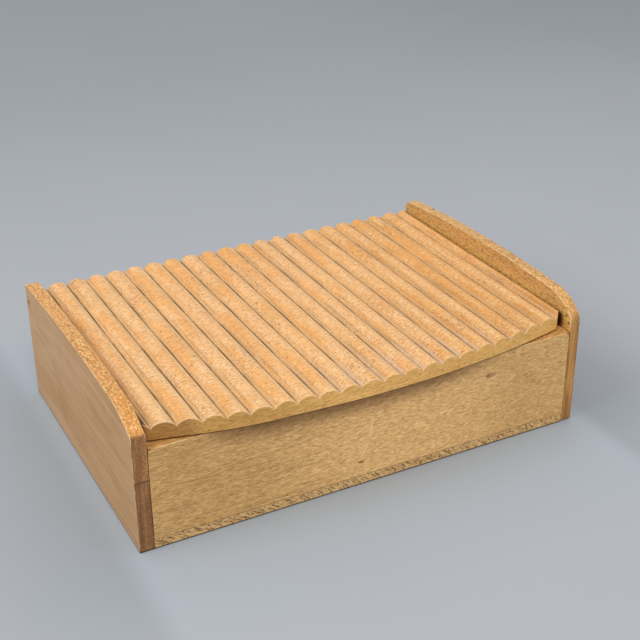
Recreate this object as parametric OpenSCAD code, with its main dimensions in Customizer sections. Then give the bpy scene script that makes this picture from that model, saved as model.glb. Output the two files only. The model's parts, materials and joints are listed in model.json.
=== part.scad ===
// Playing card box: a tray for two decks between two arched cheeks, with a reeded lid that swings up on two nails.
// X runs across the box, Y from front to back and Z up. The origin is the middle of the tray's underside.

/* [Case] */
// Width of the tray between the cheeks
tray_w = 152; // [132:1:190]
// Depth of the case from its front face to its back face
case_d = 108; // [100:1:140]
// Height of the front panel's top edge above the table
panel_top = 35.6; // [30:0.2:48]
// Thickness of the left cheek
left_cheek_t = 4.8; // [3.6:0.1:7]
// Thickness of the right cheek
right_cheek_t = 4; // [3.6:0.1:7]
// Thickness of the front and back panels
panel_t = 6; // [5:0.5:9]
// Thickness of the base board
base_t = 3.5; // [2.5:0.5:6]

/* [Cheeks] */
// Rise of both cheeks' front corners above the front panel
front_rise = 5.2; // [3:0.2:7]
// Rise of the left cheek's crown above the front panel
left_crown_rise = 10.8; // [10:0.2:16]
// Rise of the left cheek's back corner above the front panel
left_back_rise = 8.2; // [6:0.2:9]
// Distance from the front face to the left cheek's crown
left_crown_setback = 42; // [35:1:60]
// Radius of the left cheek's rounded front
left_nose_r = 40; // [20:1:60]
// Height of the glue line between the left cheek's two boards
left_glue_z = 25; // [15:0.5:28]
// Rise of the right cheek's crown above the front panel
right_crown_rise = 12.8; // [11:0.2:18]
// Rise of the right cheek's back corner above the front panel
right_back_rise = 10; // [7:0.2:10.4]
// Distance from the front face to the right cheek's crown
right_crown_setback = 50; // [40:1:60]
// Radius of the right cheek's rounded front
right_nose_r = 18; // [12:1:40]

/* [Lid] */
// Thickness of the lid's board below the valleys between its reeds
lid_t = 4.1; // [4:0.1:8]
// Height of a reed above the valleys
reed_h = 1.9; // [0.8:0.1:2.4]
// Distance between the middles of two reeds
reed_pitch = 7.25; // [5:0.01:12]
// Distance of the middle valley to the left of the tray's middle
reed_offset = 0.8; // [0:0.1:2.5]
// Gap between the lid and the left cheek
lid_gap_left = 0.5; // [0.4:0.1:2]
// Gap between the lid and the right cheek
lid_gap_right = 1.2; // [0.4:0.1:2]
// Gap between the closed lid and the front panel's top edge
lid_rest_gap = 0.3; // [0.1:0.1:1]
// Distance of the lid's back edge in front of the case's back face
lid_back_gap = 0.3; // [0:0.1:1]
// Overhang of the lid's bowed front edge past the front face, at the middle
lid_overhang = 5.4; // [2:0.1:10]
// Setback of the lid's bowed front edge behind the front face, at the cheeks
lid_end_setback = 4.1; // [1:0.1:8]
// Size of the easing on the lid's left front corner
lid_corner_left = 0.5; // [0.3:0.1:3]
// Size of the easing on the lid's right front corner
lid_corner_right = 1.8; // [0.3:0.1:3]

/* [Hinge] */
// Diameter of a hinge nail
pin_d = 1.6; // [1.2:0.1:2.2]
// Distance from the case's back face to the hinge axis
pin_setback = 3; // [2.5:0.1:6]
// Length of a hinge nail inside the lid
pin_bite = 8.5; // [5:0.5:15]
// Depth of a hinge nail's end below the cheek's outer face
pin_sink = 0.3; // [0.1:0.1:1]
// Radial play of a hinge nail in the lid's bore
pin_play = 0.05; // [0.02:0.01:0.1]
// Radial room for a hinge nail in the cheek's bore
pin_seat = 0.02; // [0.01:0.01:0.05]
// Clearance between the lid's turning heel and the back panel
heel_gap = 0.95; // [0.5:0.05:2]

/* [Tray] */
// Thickness of the divider between the two bays
divider_t = 4; // [3:0.5:8]
// Distance of the divider's top below the front panel's top
divider_drop = 7; // [3:0.5:20]
// Depth of the divider's grooves in the front and back panels
dado_depth = 1.5; // [1:0.1:2.5]
// Thickness of the tongues on the panels' ends
tongue_t = 2; // [1.5:0.1:3]
// Length of the tongues on the panels' ends
tongue_l = 1.8; // [1:0.1:2.4]
// Distance of a tongue's top below its panel's top
tongue_shoulder = 4; // [2:0.5:10]
// Clearance of tongues and divider in their grooves
joint_gap = 0.1; // [0.05:0.05:0.3]

/* [Base nails] */
// Number of base nails in each panel
nail_count = 4; // [2:1:6]
// Distance of the outer base nails from the cheeks
nail_inset = 16; // [8:1:30]
// Diameter of a base nail
nail_d = 1.2; // [1:0.1:1.8]
// Length of a base nail with its head
nail_l = 14; // [10:0.5:20]
// Length of a base nail's point
nail_point = 1.8; // [1:0.1:3]
// Diameter of a base nail's head
nail_head_d = 2.4; // [2:0.1:3.2]
// Thickness of a base nail's head
nail_head_t = 0.6; // [0.4:0.1:1]
// Depth of a base nail's head below the underside
nail_sink = 0.2; // [0.1:0.1:0.6]
// Room around a base nail in its hole
nail_fit = 0.03; // [0.01:0.01:0.1]

/* [Hidden] */
$fn = 96;

// Facets of the wide circles behind the cheeks' arches and the lid's bow
wide_fn = 720;

// Room by which a cutting shape reaches past the face that it cuts
spare = 2;

front_y = -case_d / 2;
back_y = case_d / 2;
left_x = -tray_w / 2 - left_cheek_t;
right_x = tray_w / 2 + right_cheek_t;
inner_d = case_d - 2 * panel_t;
front_mid_y = front_y + panel_t / 2;
back_mid_y = back_y - panel_t / 2;

// The lid lies just above the front panel, and its hinge axis is in the middle of its board
lid_z = panel_top + lid_rest_gap;
valley_z = lid_z + lid_t;
reed_r = arc_radius(reed_pitch / 2, reed_h);
lid_left = lid_gap_left - tray_w / 2;
lid_right = tray_w / 2 - lid_gap_right;
lid_w = lid_right - lid_left;
lid_back = back_y - lid_back_gap;
lid_front = front_y - lid_overhang;
bow_r = arc_radius(tray_w / 2, lid_overhang + lid_end_setback);
pin_y = back_y - pin_setback;
pin_z = lid_z + lid_t / 2;

// The lid's heel turns about the hinge axis just above the back panel
heel_r = lid_back - pin_y;
back_top = pin_z - max(heel_r, lid_t / 2) - heel_gap;
divider_top = panel_top - divider_drop;

beech_side = [0.69, 0.56, 0.43];
beech_end = [0.55, 0.41, 0.29];
beech_front = [0.75, 0.58, 0.36];
beech_base = [0.80, 0.65, 0.43];
beech_lid = [0.91, 0.69, 0.43];
nail_steel = [0.36, 0.33, 0.30];

// Radius of an arc that is half_chord to each side of its middle and rises by rise
function arc_radius(half_chord, rise) = (half_chord * half_chord + rise * rise) / (2 * rise);

// Middle of a circle of radius r through corner that touches a larger circle from inside, on the front side
function nose_middle(arch_middle, arch_r, corner, r) =
    let (
        apart = corner - arch_middle,
        reach = norm(apart),
        along = ((arch_r - r) ^ 2 - r ^ 2 + reach ^ 2) / (2 * reach),
        aside = sqrt((arch_r - r) ^ 2 - along ^ 2),
        dir = apart / reach
    )
    arch_middle + along * dir + aside * [dir.y, -dir.x];

// Extrudes an outline drawn in Y and Z along X
module along_x(start, length) {
    translate([start, 0, 0])
        rotate([90, 0, 90])
            linear_extrude(length)
                children();
}

// Side view of a cheek: a flat arch over its whole depth, with a rounder nose at the front
module cheek_outline(crown_rise, back_rise, crown_setback, nose_r) {
    crown_z = panel_top + crown_rise;
    arch_r = arc_radius(case_d - crown_setback, crown_rise - back_rise);
    arch_middle = [front_y + crown_setback, crown_z - arch_r];
    nose = nose_middle(arch_middle, arch_r, [front_y, panel_top + front_rise], nose_r);
    nose_end = arch_middle + (nose - arch_middle) * arch_r / (arch_r - nose_r);
    intersection() {
        translate([front_y, 0])
            square([case_d, crown_z + spare]);
        translate(arch_middle)
            circle(arch_r, $fn = wide_fn);
        union() {
            translate(nose)
                circle(nose_r);
            translate([front_y, 0])
                square([case_d, max(nose.y, base_t)]);
            translate([nose_end.x, 0])
                square([back_y - nose_end.x, crown_z + spare]);
        }
    }
}

module left_outline() {
    cheek_outline(left_crown_rise, left_back_rise, left_crown_setback, left_nose_r);
}

module right_outline() {
    cheek_outline(right_crown_rise, right_back_rise, right_crown_setback, right_nose_r);
}

// Bar through a panel whose two ends are its tongues, grown by gap for the cheeks' grooves
module tongue_bar(mid_y, top_z, gap) {
    half_w = tray_w / 2 + tongue_l + gap;
    width = tongue_t + 2 * gap;
    translate([-half_w, mid_y - width / 2, base_t])
        cube([2 * half_w, width, top_z - tongue_shoulder + gap - base_t]);
}

module tongue_grooves() {
    tongue_bar(front_mid_y, panel_top, joint_gap);
    tongue_bar(back_mid_y, back_top, joint_gap);
}

// The divider, short of its grooves' ends, or grown by gap to cut those grooves
module divider_bar(gap) {
    width = divider_t + 2 * gap;
    length = inner_d + 2 * (dado_depth - joint_gap + gap);
    translate([-width / 2, -length / 2, base_t])
        cube([width, length, divider_top + gap - base_t]);
}

// A rod on the hinge axis between two places along X
module hinge_rod(start, length, radius) {
    translate([start, pin_y, pin_z])
        rotate([0, 90, 0])
            cylinder(r = radius, h = length);
}

module cheek_bores() {
    hinge_rod(left_x - spare, right_x - left_x + 2 * spare, pin_d / 2 + pin_seat);
}

// A base nail standing on its head, grown by gap to cut its hole
module base_nail(gap) {
    shank_l = nail_l - nail_point;
    shank_r = nail_d / 2 + gap;
    translate([0, 0, nail_sink]) {
        cylinder(r = nail_head_d / 2 + gap, h = nail_head_t + gap);
        cylinder(r = shank_r, h = shank_l + gap);
        translate([0, 0, shank_l + gap])
            cylinder(r1 = shank_r, r2 = 0, h = nail_point);
    }
}

module nail_places() {
    step = (tray_w - 2 * nail_inset) / (nail_count - 1);
    for (y = [front_mid_y, back_mid_y], i = [0 : nail_count - 1])
        translate([nail_inset - tray_w / 2 + i * step, y, 0])
            children();
}

module nail_holes() {
    nail_places() {
        base_nail(nail_fit);
        translate([0, 0, -spare])
            cylinder(r = nail_head_d / 2 + nail_fit, h = spare + nail_sink + nail_head_t / 2);
    }
}

// A panel between the cheeks, standing on the base board
module panel(mid_y, top_z) {
    difference() {
        union() {
            translate([-tray_w / 2, mid_y - panel_t / 2, base_t])
                cube([tray_w, panel_t, top_z - base_t]);
            tongue_bar(mid_y, top_z, 0);
        }
        divider_bar(joint_gap);
        nail_holes();
    }
}

// The lid's board before its ends are cut: a slab that carries the reeds
module reeded_stock() {
    length = lid_back - lid_front + 2 * spare;
    half_count = ceil(lid_w / 2 / reed_pitch) + 1;
    translate([lid_left - spare, lid_front - spare, lid_z - spare])
        cube([lid_w + 2 * spare, length, lid_t - reed_h / 2 + spare]);
    for (i = [-half_count : half_count - 1])
        translate([(i + 0.5) * reed_pitch - reed_offset, lid_front - spare, valley_z + reed_h - reed_r])
            rotate([-90, 0, 0])
                cylinder(r = reed_r, h = length);
}

// The lid's shape seen from above: straight ends and back, bowed front
module lid_plan() {
    height = lid_t + reed_h + spare;
    intersection() {
        translate([lid_left, lid_front - spare, lid_z])
            cube([lid_w, lid_back - lid_front + spare, height]);
        translate([0, lid_front + bow_r, lid_z - spare])
            cylinder(r = bow_r, h = height + 2 * spare, $fn = wide_fn);
    }
}

module front_corner_cuts() {
    for (corner = [[lid_left, lid_corner_left], [lid_right, lid_corner_right]])
        translate([corner.x, lid_front + bow_r - sqrt(bow_r ^ 2 - corner.x ^ 2), lid_z - spare])
            rotate([0, 0, 45])
                translate([-corner.y, -corner.y, 0] / sqrt(2))
                    cube([corner.y * sqrt(2), corner.y * sqrt(2), lid_t + reed_h + 2 * spare]);
}

// Rounds the lid's lower back edge about the hinge axis, so that it turns clear of the back panel
module heel_cut() {
    difference() {
        translate([lid_left - spare, pin_y, lid_z - spare])
            cube([lid_w + 2 * spare, heel_r + spare, lid_t / 2 + spare]);
        hinge_rod(lid_left - 2 * spare, lid_w + 4 * spare, heel_r);
    }
}

module lid_bores() {
    depth = pin_bite + pin_sink;
    hinge_rod(lid_left - spare, depth + spare, pin_d / 2 + pin_play);
    hinge_rod(lid_right - depth, depth + spare, pin_d / 2 + pin_play);
}

module left_cheek_upper() {
    color(beech_side)
        difference() {
            along_x(left_x, left_cheek_t)
                intersection() {
                    left_outline();
                    translate([front_y - spare, left_glue_z])
                        square([case_d + 2 * spare, panel_top + left_crown_rise]);
                }
            tongue_grooves();
            cheek_bores();
        }
}

module left_cheek_lower() {
    color(beech_end)
        difference() {
            translate([left_x, front_y, 0])
                cube([left_cheek_t, case_d, left_glue_z]);
            tongue_grooves();
        }
}

module right_cheek() {
    color(beech_side)
        difference() {
            along_x(tray_w / 2, right_cheek_t)
                right_outline();
            tongue_grooves();
            cheek_bores();
        }
}

module front_panel() {
    color(beech_front)
        panel(front_mid_y, panel_top);
}

module back_panel() {
    color(beech_front)
        panel(back_mid_y, back_top);
}

module base_board() {
    color(beech_base)
        difference() {
            translate([-tray_w / 2, front_y, 0])
                cube([tray_w, case_d, base_t]);
            nail_holes();
        }
}

module deck_divider() {
    color(beech_base)
        divider_bar(0);
}

module lid() {
    color(beech_lid)
        difference() {
            intersection() {
                reeded_stock();
                lid_plan();
            }
            front_corner_cuts();
            heel_cut();
            lid_bores();
        }
}

module left_hinge_nail() {
    start = left_x + pin_sink;
    color(nail_steel)
        hinge_rod(start, lid_left + pin_bite - start, pin_d / 2);
}

module right_hinge_nail() {
    start = lid_right - pin_bite;
    color(nail_steel)
        hinge_rod(start, right_x - pin_sink - start, pin_d / 2);
}

module base_nails() {
    color(nail_steel)
        nail_places()
            base_nail(0);
}

left_cheek_upper();
left_cheek_lower();
right_cheek();
front_panel();
back_panel();
base_board();
deck_divider();
lid();
left_hinge_nail();
right_hinge_nail();
base_nails();
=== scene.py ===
import itertools
import json
import math

import bmesh
import bpy
import numpy as np
from mathutils import Matrix, Vector, noise


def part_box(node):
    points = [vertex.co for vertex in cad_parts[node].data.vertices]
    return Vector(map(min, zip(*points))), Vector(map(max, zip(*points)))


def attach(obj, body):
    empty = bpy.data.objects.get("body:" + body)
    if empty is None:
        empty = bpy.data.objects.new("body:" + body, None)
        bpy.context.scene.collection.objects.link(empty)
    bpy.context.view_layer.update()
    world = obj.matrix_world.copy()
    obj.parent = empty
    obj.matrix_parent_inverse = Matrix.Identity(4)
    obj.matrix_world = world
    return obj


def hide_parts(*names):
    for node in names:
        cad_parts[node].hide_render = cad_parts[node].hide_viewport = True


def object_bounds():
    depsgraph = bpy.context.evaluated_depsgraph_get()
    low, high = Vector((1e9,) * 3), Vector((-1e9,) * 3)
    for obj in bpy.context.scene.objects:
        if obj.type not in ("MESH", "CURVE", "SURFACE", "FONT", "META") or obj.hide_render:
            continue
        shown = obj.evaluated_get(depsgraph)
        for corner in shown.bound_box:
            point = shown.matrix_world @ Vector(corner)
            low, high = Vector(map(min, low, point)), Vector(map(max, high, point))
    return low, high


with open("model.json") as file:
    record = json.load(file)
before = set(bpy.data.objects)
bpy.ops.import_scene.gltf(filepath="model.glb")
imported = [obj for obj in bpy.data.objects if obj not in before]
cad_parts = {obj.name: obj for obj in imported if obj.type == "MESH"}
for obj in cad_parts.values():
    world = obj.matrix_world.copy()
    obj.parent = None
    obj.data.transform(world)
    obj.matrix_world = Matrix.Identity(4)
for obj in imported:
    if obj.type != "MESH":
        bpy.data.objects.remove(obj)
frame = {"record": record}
cad_low, cad_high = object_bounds()

# Sizes are in millimetres and turn into metres when a mesh is made
MM = 0.001

TO_LEFT = (-1.0, 0.0, 0.0)
TO_RIGHT = (1.0, 0.0, 0.0)
TO_FRONT = (0.0, -1.0, 0.0)
TO_BACK = (0.0, 1.0, 0.0)
UP = (0.0, 0.0, 1.0)
DOWN = (0.0, 0.0, -1.0)


def node_box(node):
    """Lowest and highest corner of a node of the part, in millimetres."""
    low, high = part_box(node)
    return np.array(low) / MM, np.array(high) / MM


left_upper_low, left_upper_high = node_box("left_cheek_upper")
left_lower_low, left_lower_high = node_box("left_cheek_lower")
right_low, right_high = node_box("right_cheek")
front_low, front_high = node_box("front_panel")
back_low, back_high = node_box("back_panel")
base_low, base_high = node_box("base_board")
divider_low, divider_high = node_box("deck_divider")
lid_low, lid_high = node_box("lid")
hinge = np.array(frame["record"]["behaviour"]["joints"][0]["pos_m"]) / MM

CASE_FRONT = left_upper_low[1]
CASE_BACK = left_upper_high[1]
GLUE_Z = left_upper_low[2]
INNER = right_low[0]
PANEL_T = front_high[1] - front_low[1]
PANEL_TOP = front_high[2]

# The cheeks' arches, as in the part's source
CHEEK_FRONT_Z = 40.8
LEFT_CROWN_SETBACK = 42.0
LEFT_BACK_Z = 43.8
LEFT_NOSE_R = 40.0
RIGHT_CROWN_SETBACK = 50.0
RIGHT_BACK_Z = 45.6
RIGHT_NOSE_R = 18.0

# How far each cheek's corners are eased: front foot, front top, back top and back foot
LEFT_EASES = (0.2, 0.9, 0.8, 0.2)
RIGHT_EASES = (1.2, 1.2, 3.6, 0.9)

# The lid's reeds and bow, as in the part's source
REED_PITCH = 7.25
REED_OFFSET = 0.8
REED_H = 1.9
BOARD_T = 4.1
LID_END_SETBACK = 4.1
LID_CORNER_LEFT = 0.5
LID_CORNER_RIGHT = 1.8

# The reeds were run by hand: places across the lid and how far the valleys there lie off an even pitch
REED_WANDER = (
    (-75.5, 0.0), (-65.5, 0.12), (-51.0, 0.05), (-43.8, 0.0), (-36.6, 0.18), (-29.4, 0.37), (-22.2, 0.13),
    (-14.9, 0.2), (-7.7, 0.0), (-0.5, 0.62), (6.7, 0.48), (14.0, 0.35), (21.0, 0.23), (28.4, 0.13),
    (35.6, 0.27), (42.8, 0.23), (50.0, 0.0), (57.3, -0.16), (64.5, -0.2), (74.8, 0.0))
WANDER_SPAN = 80.0

# The hinge nails and the room in their bores, as in the part's source
PIN_R = 0.8
PIN_BITE = 8.5
PIN_SINK = 0.3
PIN_PLAY = 0.05
PIN_SEAT = 0.02

# The base nails, as in the part's source, and their holes, which leave them a little more room
NAIL_HEAD_R = 1.2
NAIL_SHANK_R = 0.6
NAILS_IN_ROW = 4
NAIL_ROOM = 0.05
HEAD_HOLE_DEPTH = 0.65


def arc_radius(half_chord, rise):
    """Radius of an arc from half its chord and its rise."""
    return (half_chord * half_chord + rise * rise) / (2 * rise)


# Mesh making

def soft_noise(points, size, seed):
    """Smooth noise from -1 to 1 at each point, with bumps of about the given size."""
    shift = Vector((seed * 17.3, seed * 5.1, seed * 9.7))
    return np.array([noise.noise(Vector(p) / size + shift) for p in points])


def add_object(name, data):
    """An object of the scene that shows some data, such as a mesh or a lamp."""
    made = bpy.data.objects.new(name, data)
    bpy.context.scene.collection.objects.link(made)
    return made


def new_piece(name, points, faces, material, **amounts):
    """A smooth closed mesh in metres whose points carry amounts, such as how worn an arris is."""
    mesh = bpy.data.meshes.new(name)
    mesh.from_pydata((np.asarray(points) * MM).tolist(), [], faces)
    for label, values in amounts.items():
        layer = mesh.attributes.new(label, "FLOAT", "POINT")
        layer.data.foreach_set("value", np.asarray(values, np.float32))
    shell = bmesh.new()
    shell.from_mesh(mesh)
    bmesh.ops.recalc_face_normals(shell, faces=shell.faces)
    shell.to_mesh(mesh)
    shell.free()
    mesh.polygons.foreach_set("use_smooth", [True] * len(mesh.polygons))
    mesh.materials.append(material)
    return add_object(name, mesh)


def settle(piece):
    """Turns what a piece's modifiers make of it into its plain mesh."""
    depsgraph = bpy.context.evaluated_depsgraph_get()
    made = bpy.data.meshes.new_from_object(piece.evaluated_get(depsgraph), depsgraph=depsgraph)
    made.name = piece.name
    piece.modifiers.clear()
    piece.data = made


def carve(piece, shapes, operation="DIFFERENCE"):
    """Cuts closed shapes that keep clear of each other out of a piece, or joins them to it."""
    points, faces = [], []
    for more_points, more_faces in shapes:
        faces += [tuple(len(points) + i for i in face) for face in more_faces]
        points += list(more_points)
    tool = new_piece("tool", points, faces, piece.data.materials[0])
    step = piece.modifiers.new("carve", "BOOLEAN")
    step.operation = operation
    step.solver = "EXACT"
    step.object = tool
    settle(piece)
    bpy.data.objects.remove(tool)


def flat_shading(piece):
    """Lets the wide faces of a piece rule its shading, so that only its arrises look round."""
    step = piece.modifiers.new("flat faces", "WEIGHTED_NORMAL")
    step.mode = "FACE_AREA"
    step.keep_sharp = False


def block(low, high):
    """Points and faces of a plain box, for cutting."""
    points = list(itertools.product(*zip(low, high)))
    faces = [(0, 1, 3, 2), (4, 6, 7, 5), (0, 4, 5, 1), (2, 3, 7, 6), (0, 2, 6, 4), (1, 5, 7, 3)]
    return points, faces


BORE_SIDES = 24


def spindle(axis, centre, profile):
    """Points and faces of a round bar for cutting, from places along its axis and the radius there."""
    points = []
    b, c = (axis + 1) % 3, (axis + 2) % 3
    for place, radius in profile:
        for i in range(BORE_SIDES):
            turn = math.tau * i / BORE_SIDES
            point = [0.0, 0.0, 0.0]
            point[axis] = place
            point[b] = centre[b] + radius * math.cos(turn)
            point[c] = centre[c] + radius * math.sin(turn)
            points.append(point)
    faces = [tuple(range(BORE_SIDES))[::-1]]
    for r in range(len(profile) - 1):
        below, above = r * BORE_SIDES, (r + 1) * BORE_SIDES
        for i in range(BORE_SIDES):
            j = (i + 1) % BORE_SIDES
            faces.append((below + i, below + j, above + j, above + i))
    faces.append(tuple(range(len(points) - BORE_SIDES, len(points))))
    return points, faces


ARRIS_STEPS = 3
ARRIS_ROOM = 0.6
PLAIN_SPACING = (2.0, 2.0, 2.0)


def sawn_board(low, high, arris, spacing):
    """Points, faces, wear and unrounded points of a board whose arris radius is a function of the place."""
    low, high = np.asarray(low, float), np.asarray(high, float)
    shares = [1 - math.tan(math.radians(45) * k / ARRIS_STEPS) for k in range(ARRIS_STEPS, -1, -1)]
    lines = []
    for a in range(3):
        span = high[a] - low[a] - 2 * ARRIS_ROOM
        count = max(1, round(span / spacing[a]))
        inner = [low[a] + ARRIS_ROOM + span * i / count for i in range(1, count)]
        lines.append([(low[a], -1, s) for s in shares]
                     + [(p, 0, 1.0) for p in inner]
                     + [(high[a], 1, s) for s in reversed(shares)])
    shape = [len(line) for line in lines]
    grid = np.meshgrid(*[np.arange(n) for n in shape], indexing="ij")
    on_skin = np.zeros(shape, bool)
    for a in range(3):
        on_skin |= (grid[a] == 0) | (grid[a] == shape[a] - 1)
    number = np.full(shape, -1)
    number[on_skin] = np.arange(on_skin.sum())
    rows = np.stack([np.array(lines[a])[grid[a][on_skin]] for a in range(3)], 1)
    place, side, share = rows[:, :, 0], rows[:, :, 1], rows[:, :, 2]
    radius = arris(place)[:, None]
    core = place - side * radius
    lean = side * (1 - share)
    points = core + radius * lean / np.maximum(np.linalg.norm(lean, axis=1, keepdims=True), 1e-9)
    wear = np.sort(np.abs(lean), 1)[:, 1]
    faces = []
    for a in range(3):
        for end in (0, shape[a] - 1):
            skin = np.take(number, end, axis=a)
            if a == 1:
                skin = skin.T
            corners = [skin[:-1, :-1], skin[1:, :-1], skin[1:, 1:], skin[:-1, 1:]]
            quads = np.stack(corners, -1).reshape(-1, 4)
            faces += (quads if end else quads[:, ::-1]).tolist()
    return points, faces, wear, place


def along(path, start, end, step):
    """The part of a path between two distances from its ends, in even steps."""
    path = np.asarray(path, float)
    run = np.concatenate([[0], np.cumsum(np.linalg.norm(np.diff(path, axis=0), axis=1))])
    count = max(2, round((run[-1] - start - end) / step) + 1)
    stops = np.linspace(start, run[-1] - end, count)
    return np.stack([np.interp(stops, run, path[:, k]) for k in range(2)], 1)


NO_LIMIT = 9.0
OUTLINE_STEPS = (1.5, 0.8, 1.5, 2.5)


def cheek_outline(crown_z, crown_setback, back_z, nose_r, bottom, eases):
    """Side view of a cheek in Y and Z, clockwise from the front's foot, with its four corners eased."""
    arch_r = arc_radius(CASE_BACK - CASE_FRONT - crown_setback, crown_z - back_z)
    arch_middle = np.array([CASE_FRONT + crown_setback, crown_z - arch_r])
    corner = np.array([CASE_FRONT, CHEEK_FRONT_Z])
    apart = corner - arch_middle
    reach = np.linalg.norm(apart)
    ahead = ((arch_r - nose_r) ** 2 - nose_r ** 2 + reach ** 2) / (2 * reach)
    aside = math.sqrt((arch_r - nose_r) ** 2 - ahead ** 2)
    way = apart / reach
    nose = arch_middle + ahead * way + aside * np.array([way[1], -way[0]])
    nose_end = arch_middle + (nose - arch_middle) * arch_r / (arch_r - nose_r)

    def arc(middle, radius, start, end):
        a, b = (math.atan2(*(p - middle)[::-1]) for p in (start, end))
        turns = np.linspace(a, b, 60)
        return middle + radius * np.stack([np.cos(turns), np.sin(turns)], 1)

    back_corner = np.array([CASE_BACK, back_z])
    feet = np.array([[CASE_FRONT, bottom], [CASE_BACK, bottom]])
    nose_arc = arc(nose, nose_r, corner, nose_end)
    top = np.concatenate([nose_arc, arc(arch_middle, arch_r, nose_end, back_corner)[1:]])
    paths = [np.array([feet[0], corner]), top, np.array([back_corner, feet[1]]), feet[::-1]]
    outline, limit = [], []
    for k, path in enumerate(paths):
        start, end = eases[k], eases[(k + 1) % 4]
        run = along(path, start, end, OUTLINE_STEPS[k])
        outline.append(run)
        limit.append(np.full(len(run), NO_LIMIT))
        following = along(paths[(k + 1) % 4], end, eases[(k + 2) % 4], OUTLINE_STEPS[k])
        shares = np.linspace(0, 1, 8)[1:-1, None]
        bend = (1 - shares) ** 2 * run[-1] + shares ** 2 * following[0]
        bend += 2 * shares * (1 - shares) * path[-1]
        outline.append(bend)
        limit.append(np.full(len(bend), 0.6 * end))
    return np.concatenate(outline), np.concatenate(limit)


def arched_board(outline, outer_arris, inner_arris, outer_x, inner_x, inner_wear):
    """Points, faces and wear of a board cut to an outline, with an arris radius at each point of a rim."""
    inward = np.roll(outline, -1, 0) - np.roll(outline, 1, 0)
    inward = np.stack([inward[:, 1], -inward[:, 0]], 1)
    inward /= np.linalg.norm(inward, axis=1, keepdims=True)
    way = math.copysign(1, inner_x - outer_x)
    turns = [math.radians(90) * k / 4 for k in range(5)]
    rings, wear = [], []
    for turn in reversed(turns):
        inset = outer_arris * (1 - math.cos(turn))
        rings.append((inset, outer_x + way * outer_arris * (1 - math.sin(turn))))
        wear.append(np.full(len(outline), math.sin(2 * turn)))
    for turn in turns:
        inset = inner_arris * (1 - math.cos(turn))
        rings.append((inset, inner_x - way * inner_arris * (1 - math.sin(turn))))
        wear.append(inner_wear * math.sin(2 * turn))
    points = []
    for inset, x in rings:
        flat = outline + inward * inset[:, None]
        points.append(np.column_stack([x, flat]))
    n = len(outline)
    faces = []
    for r in range(len(rings) - 1):
        for i in range(n):
            j = (i + 1) % n
            faces.append((r * n + i, r * n + j, (r + 1) * n + j, (r + 1) * n + i))
    faces.append(tuple(range(n))[::-1])
    faces.append(tuple(range((len(rings) - 1) * n, len(rings) * n)))
    return np.concatenate(points), faces, np.concatenate(wear)


# Node trees

class Term:
    """A value in a node tree that can be used in plain sums."""

    def __init__(self, bench, socket):
        self.bench = bench
        self.socket = socket

    def calc(self, operation, *others):
        return self.bench.calc(operation, self, *others)

    def __add__(self, other):
        return self.calc("ADD", other)

    def __radd__(self, other):
        return self.calc("ADD", other)

    def __sub__(self, other):
        return self.calc("SUBTRACT", other)

    def __rsub__(self, other):
        return self.bench.calc("SUBTRACT", other, self)

    def __mul__(self, other):
        return self.calc("MULTIPLY", other)

    def __rmul__(self, other):
        return self.calc("MULTIPLY", other)

    def __truediv__(self, other):
        return self.calc("DIVIDE", other)

    def root(self):
        return self.calc("MAXIMUM", 0.0).calc("SQRT")

    def squared(self):
        return self * self


class Bench:
    """Places the nodes of one tree and joins their sockets."""

    def __init__(self, tree):
        self.tree = tree

    def place(self, kind, inputs=None, **settings):
        made = self.tree.nodes.new(kind)
        count = len(self.tree.nodes)
        made.location = (200 * (count % 14), -260 * (count // 14))
        for key, value in settings.items():
            setattr(made, key, value)
        for key, value in (inputs or {}).items():
            self.join(value, made.inputs[key])
        return made

    def join(self, value, socket):
        if isinstance(value, Term):
            value = value.socket
        if isinstance(value, bpy.types.NodeSocket):
            self.tree.links.new(value, socket)
        else:
            socket.default_value = value

    def term(self, socket):
        return Term(self, socket)

    def calc(self, operation, *values):
        made = self.place("ShaderNodeMath", dict(enumerate(values)), operation=operation)
        return self.term(made.outputs[0])

    def vector(self, operation, *values):
        made = self.place("ShaderNodeVectorMath", dict(enumerate(values)), operation=operation)
        key = "Value" if operation == "DOT_PRODUCT" else "Vector"
        return self.term(made.outputs[key])

    def combine(self, x, y, z):
        return self.term(self.place("ShaderNodeCombineXYZ", {0: x, 1: y, 2: z}).outputs[0])

    def split(self, vector):
        made = self.place("ShaderNodeSeparateXYZ", {0: vector})
        return [self.term(socket) for socket in made.outputs]

    def ease(self, value, low, high):
        """0 below low, 1 above high and a smooth step between, falling where low is the larger."""
        made = self.place("ShaderNodeMapRange", {"Value": value, "From Min": low, "From Max": high},
                          interpolation_type="SMOOTHSTEP")
        return self.term(made.outputs["Result"])

    def noise(self, vector, detail, rough=0.5):
        return self.place("ShaderNodeTexNoise", {
            "Vector": vector, "Scale": 1.0, "Detail": detail, "Roughness": rough})

    def cloud(self, place, pace, detail, rough=0.5):
        """Noise from 0 to 1 that changes at its own pace along each axis of a place."""
        made = self.noise(self.vector("MULTIPLY", place, pace), detail, rough)
        return self.term(made.outputs["Fac"])

    def spots(self, place, sizes, detail, rough=0.5):
        """Noise from 0 to 1 with spots of given sizes along the axes, which may be terms."""
        made = self.noise(self.vector("DIVIDE", place, self.combine(*sizes)), detail, rough)
        return self.term(made.outputs["Fac"])

    def mix(self, share, first, second, blend="MIX"):
        made = self.place("ShaderNodeMix", data_type="RGBA", blend_type=blend)
        self.join(share, made.inputs[0])
        self.join(first, made.inputs[6])
        self.join(second, made.inputs[7])
        return self.term(made.outputs[2])

    def tint(self, share, colour, factors):
        """A colour whose red, green and blue are multiplied by factors where the share is 1."""
        return self.mix(share, colour, (*factors, 1.0), "MULTIPLY")

    def surface(self, inputs):
        """Ends a material in one shader with these inputs."""
        shader = self.place("ShaderNodeBsdfPrincipled", inputs)
        self.place("ShaderNodeOutputMaterial", {"Surface": shader.outputs[0]})


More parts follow.
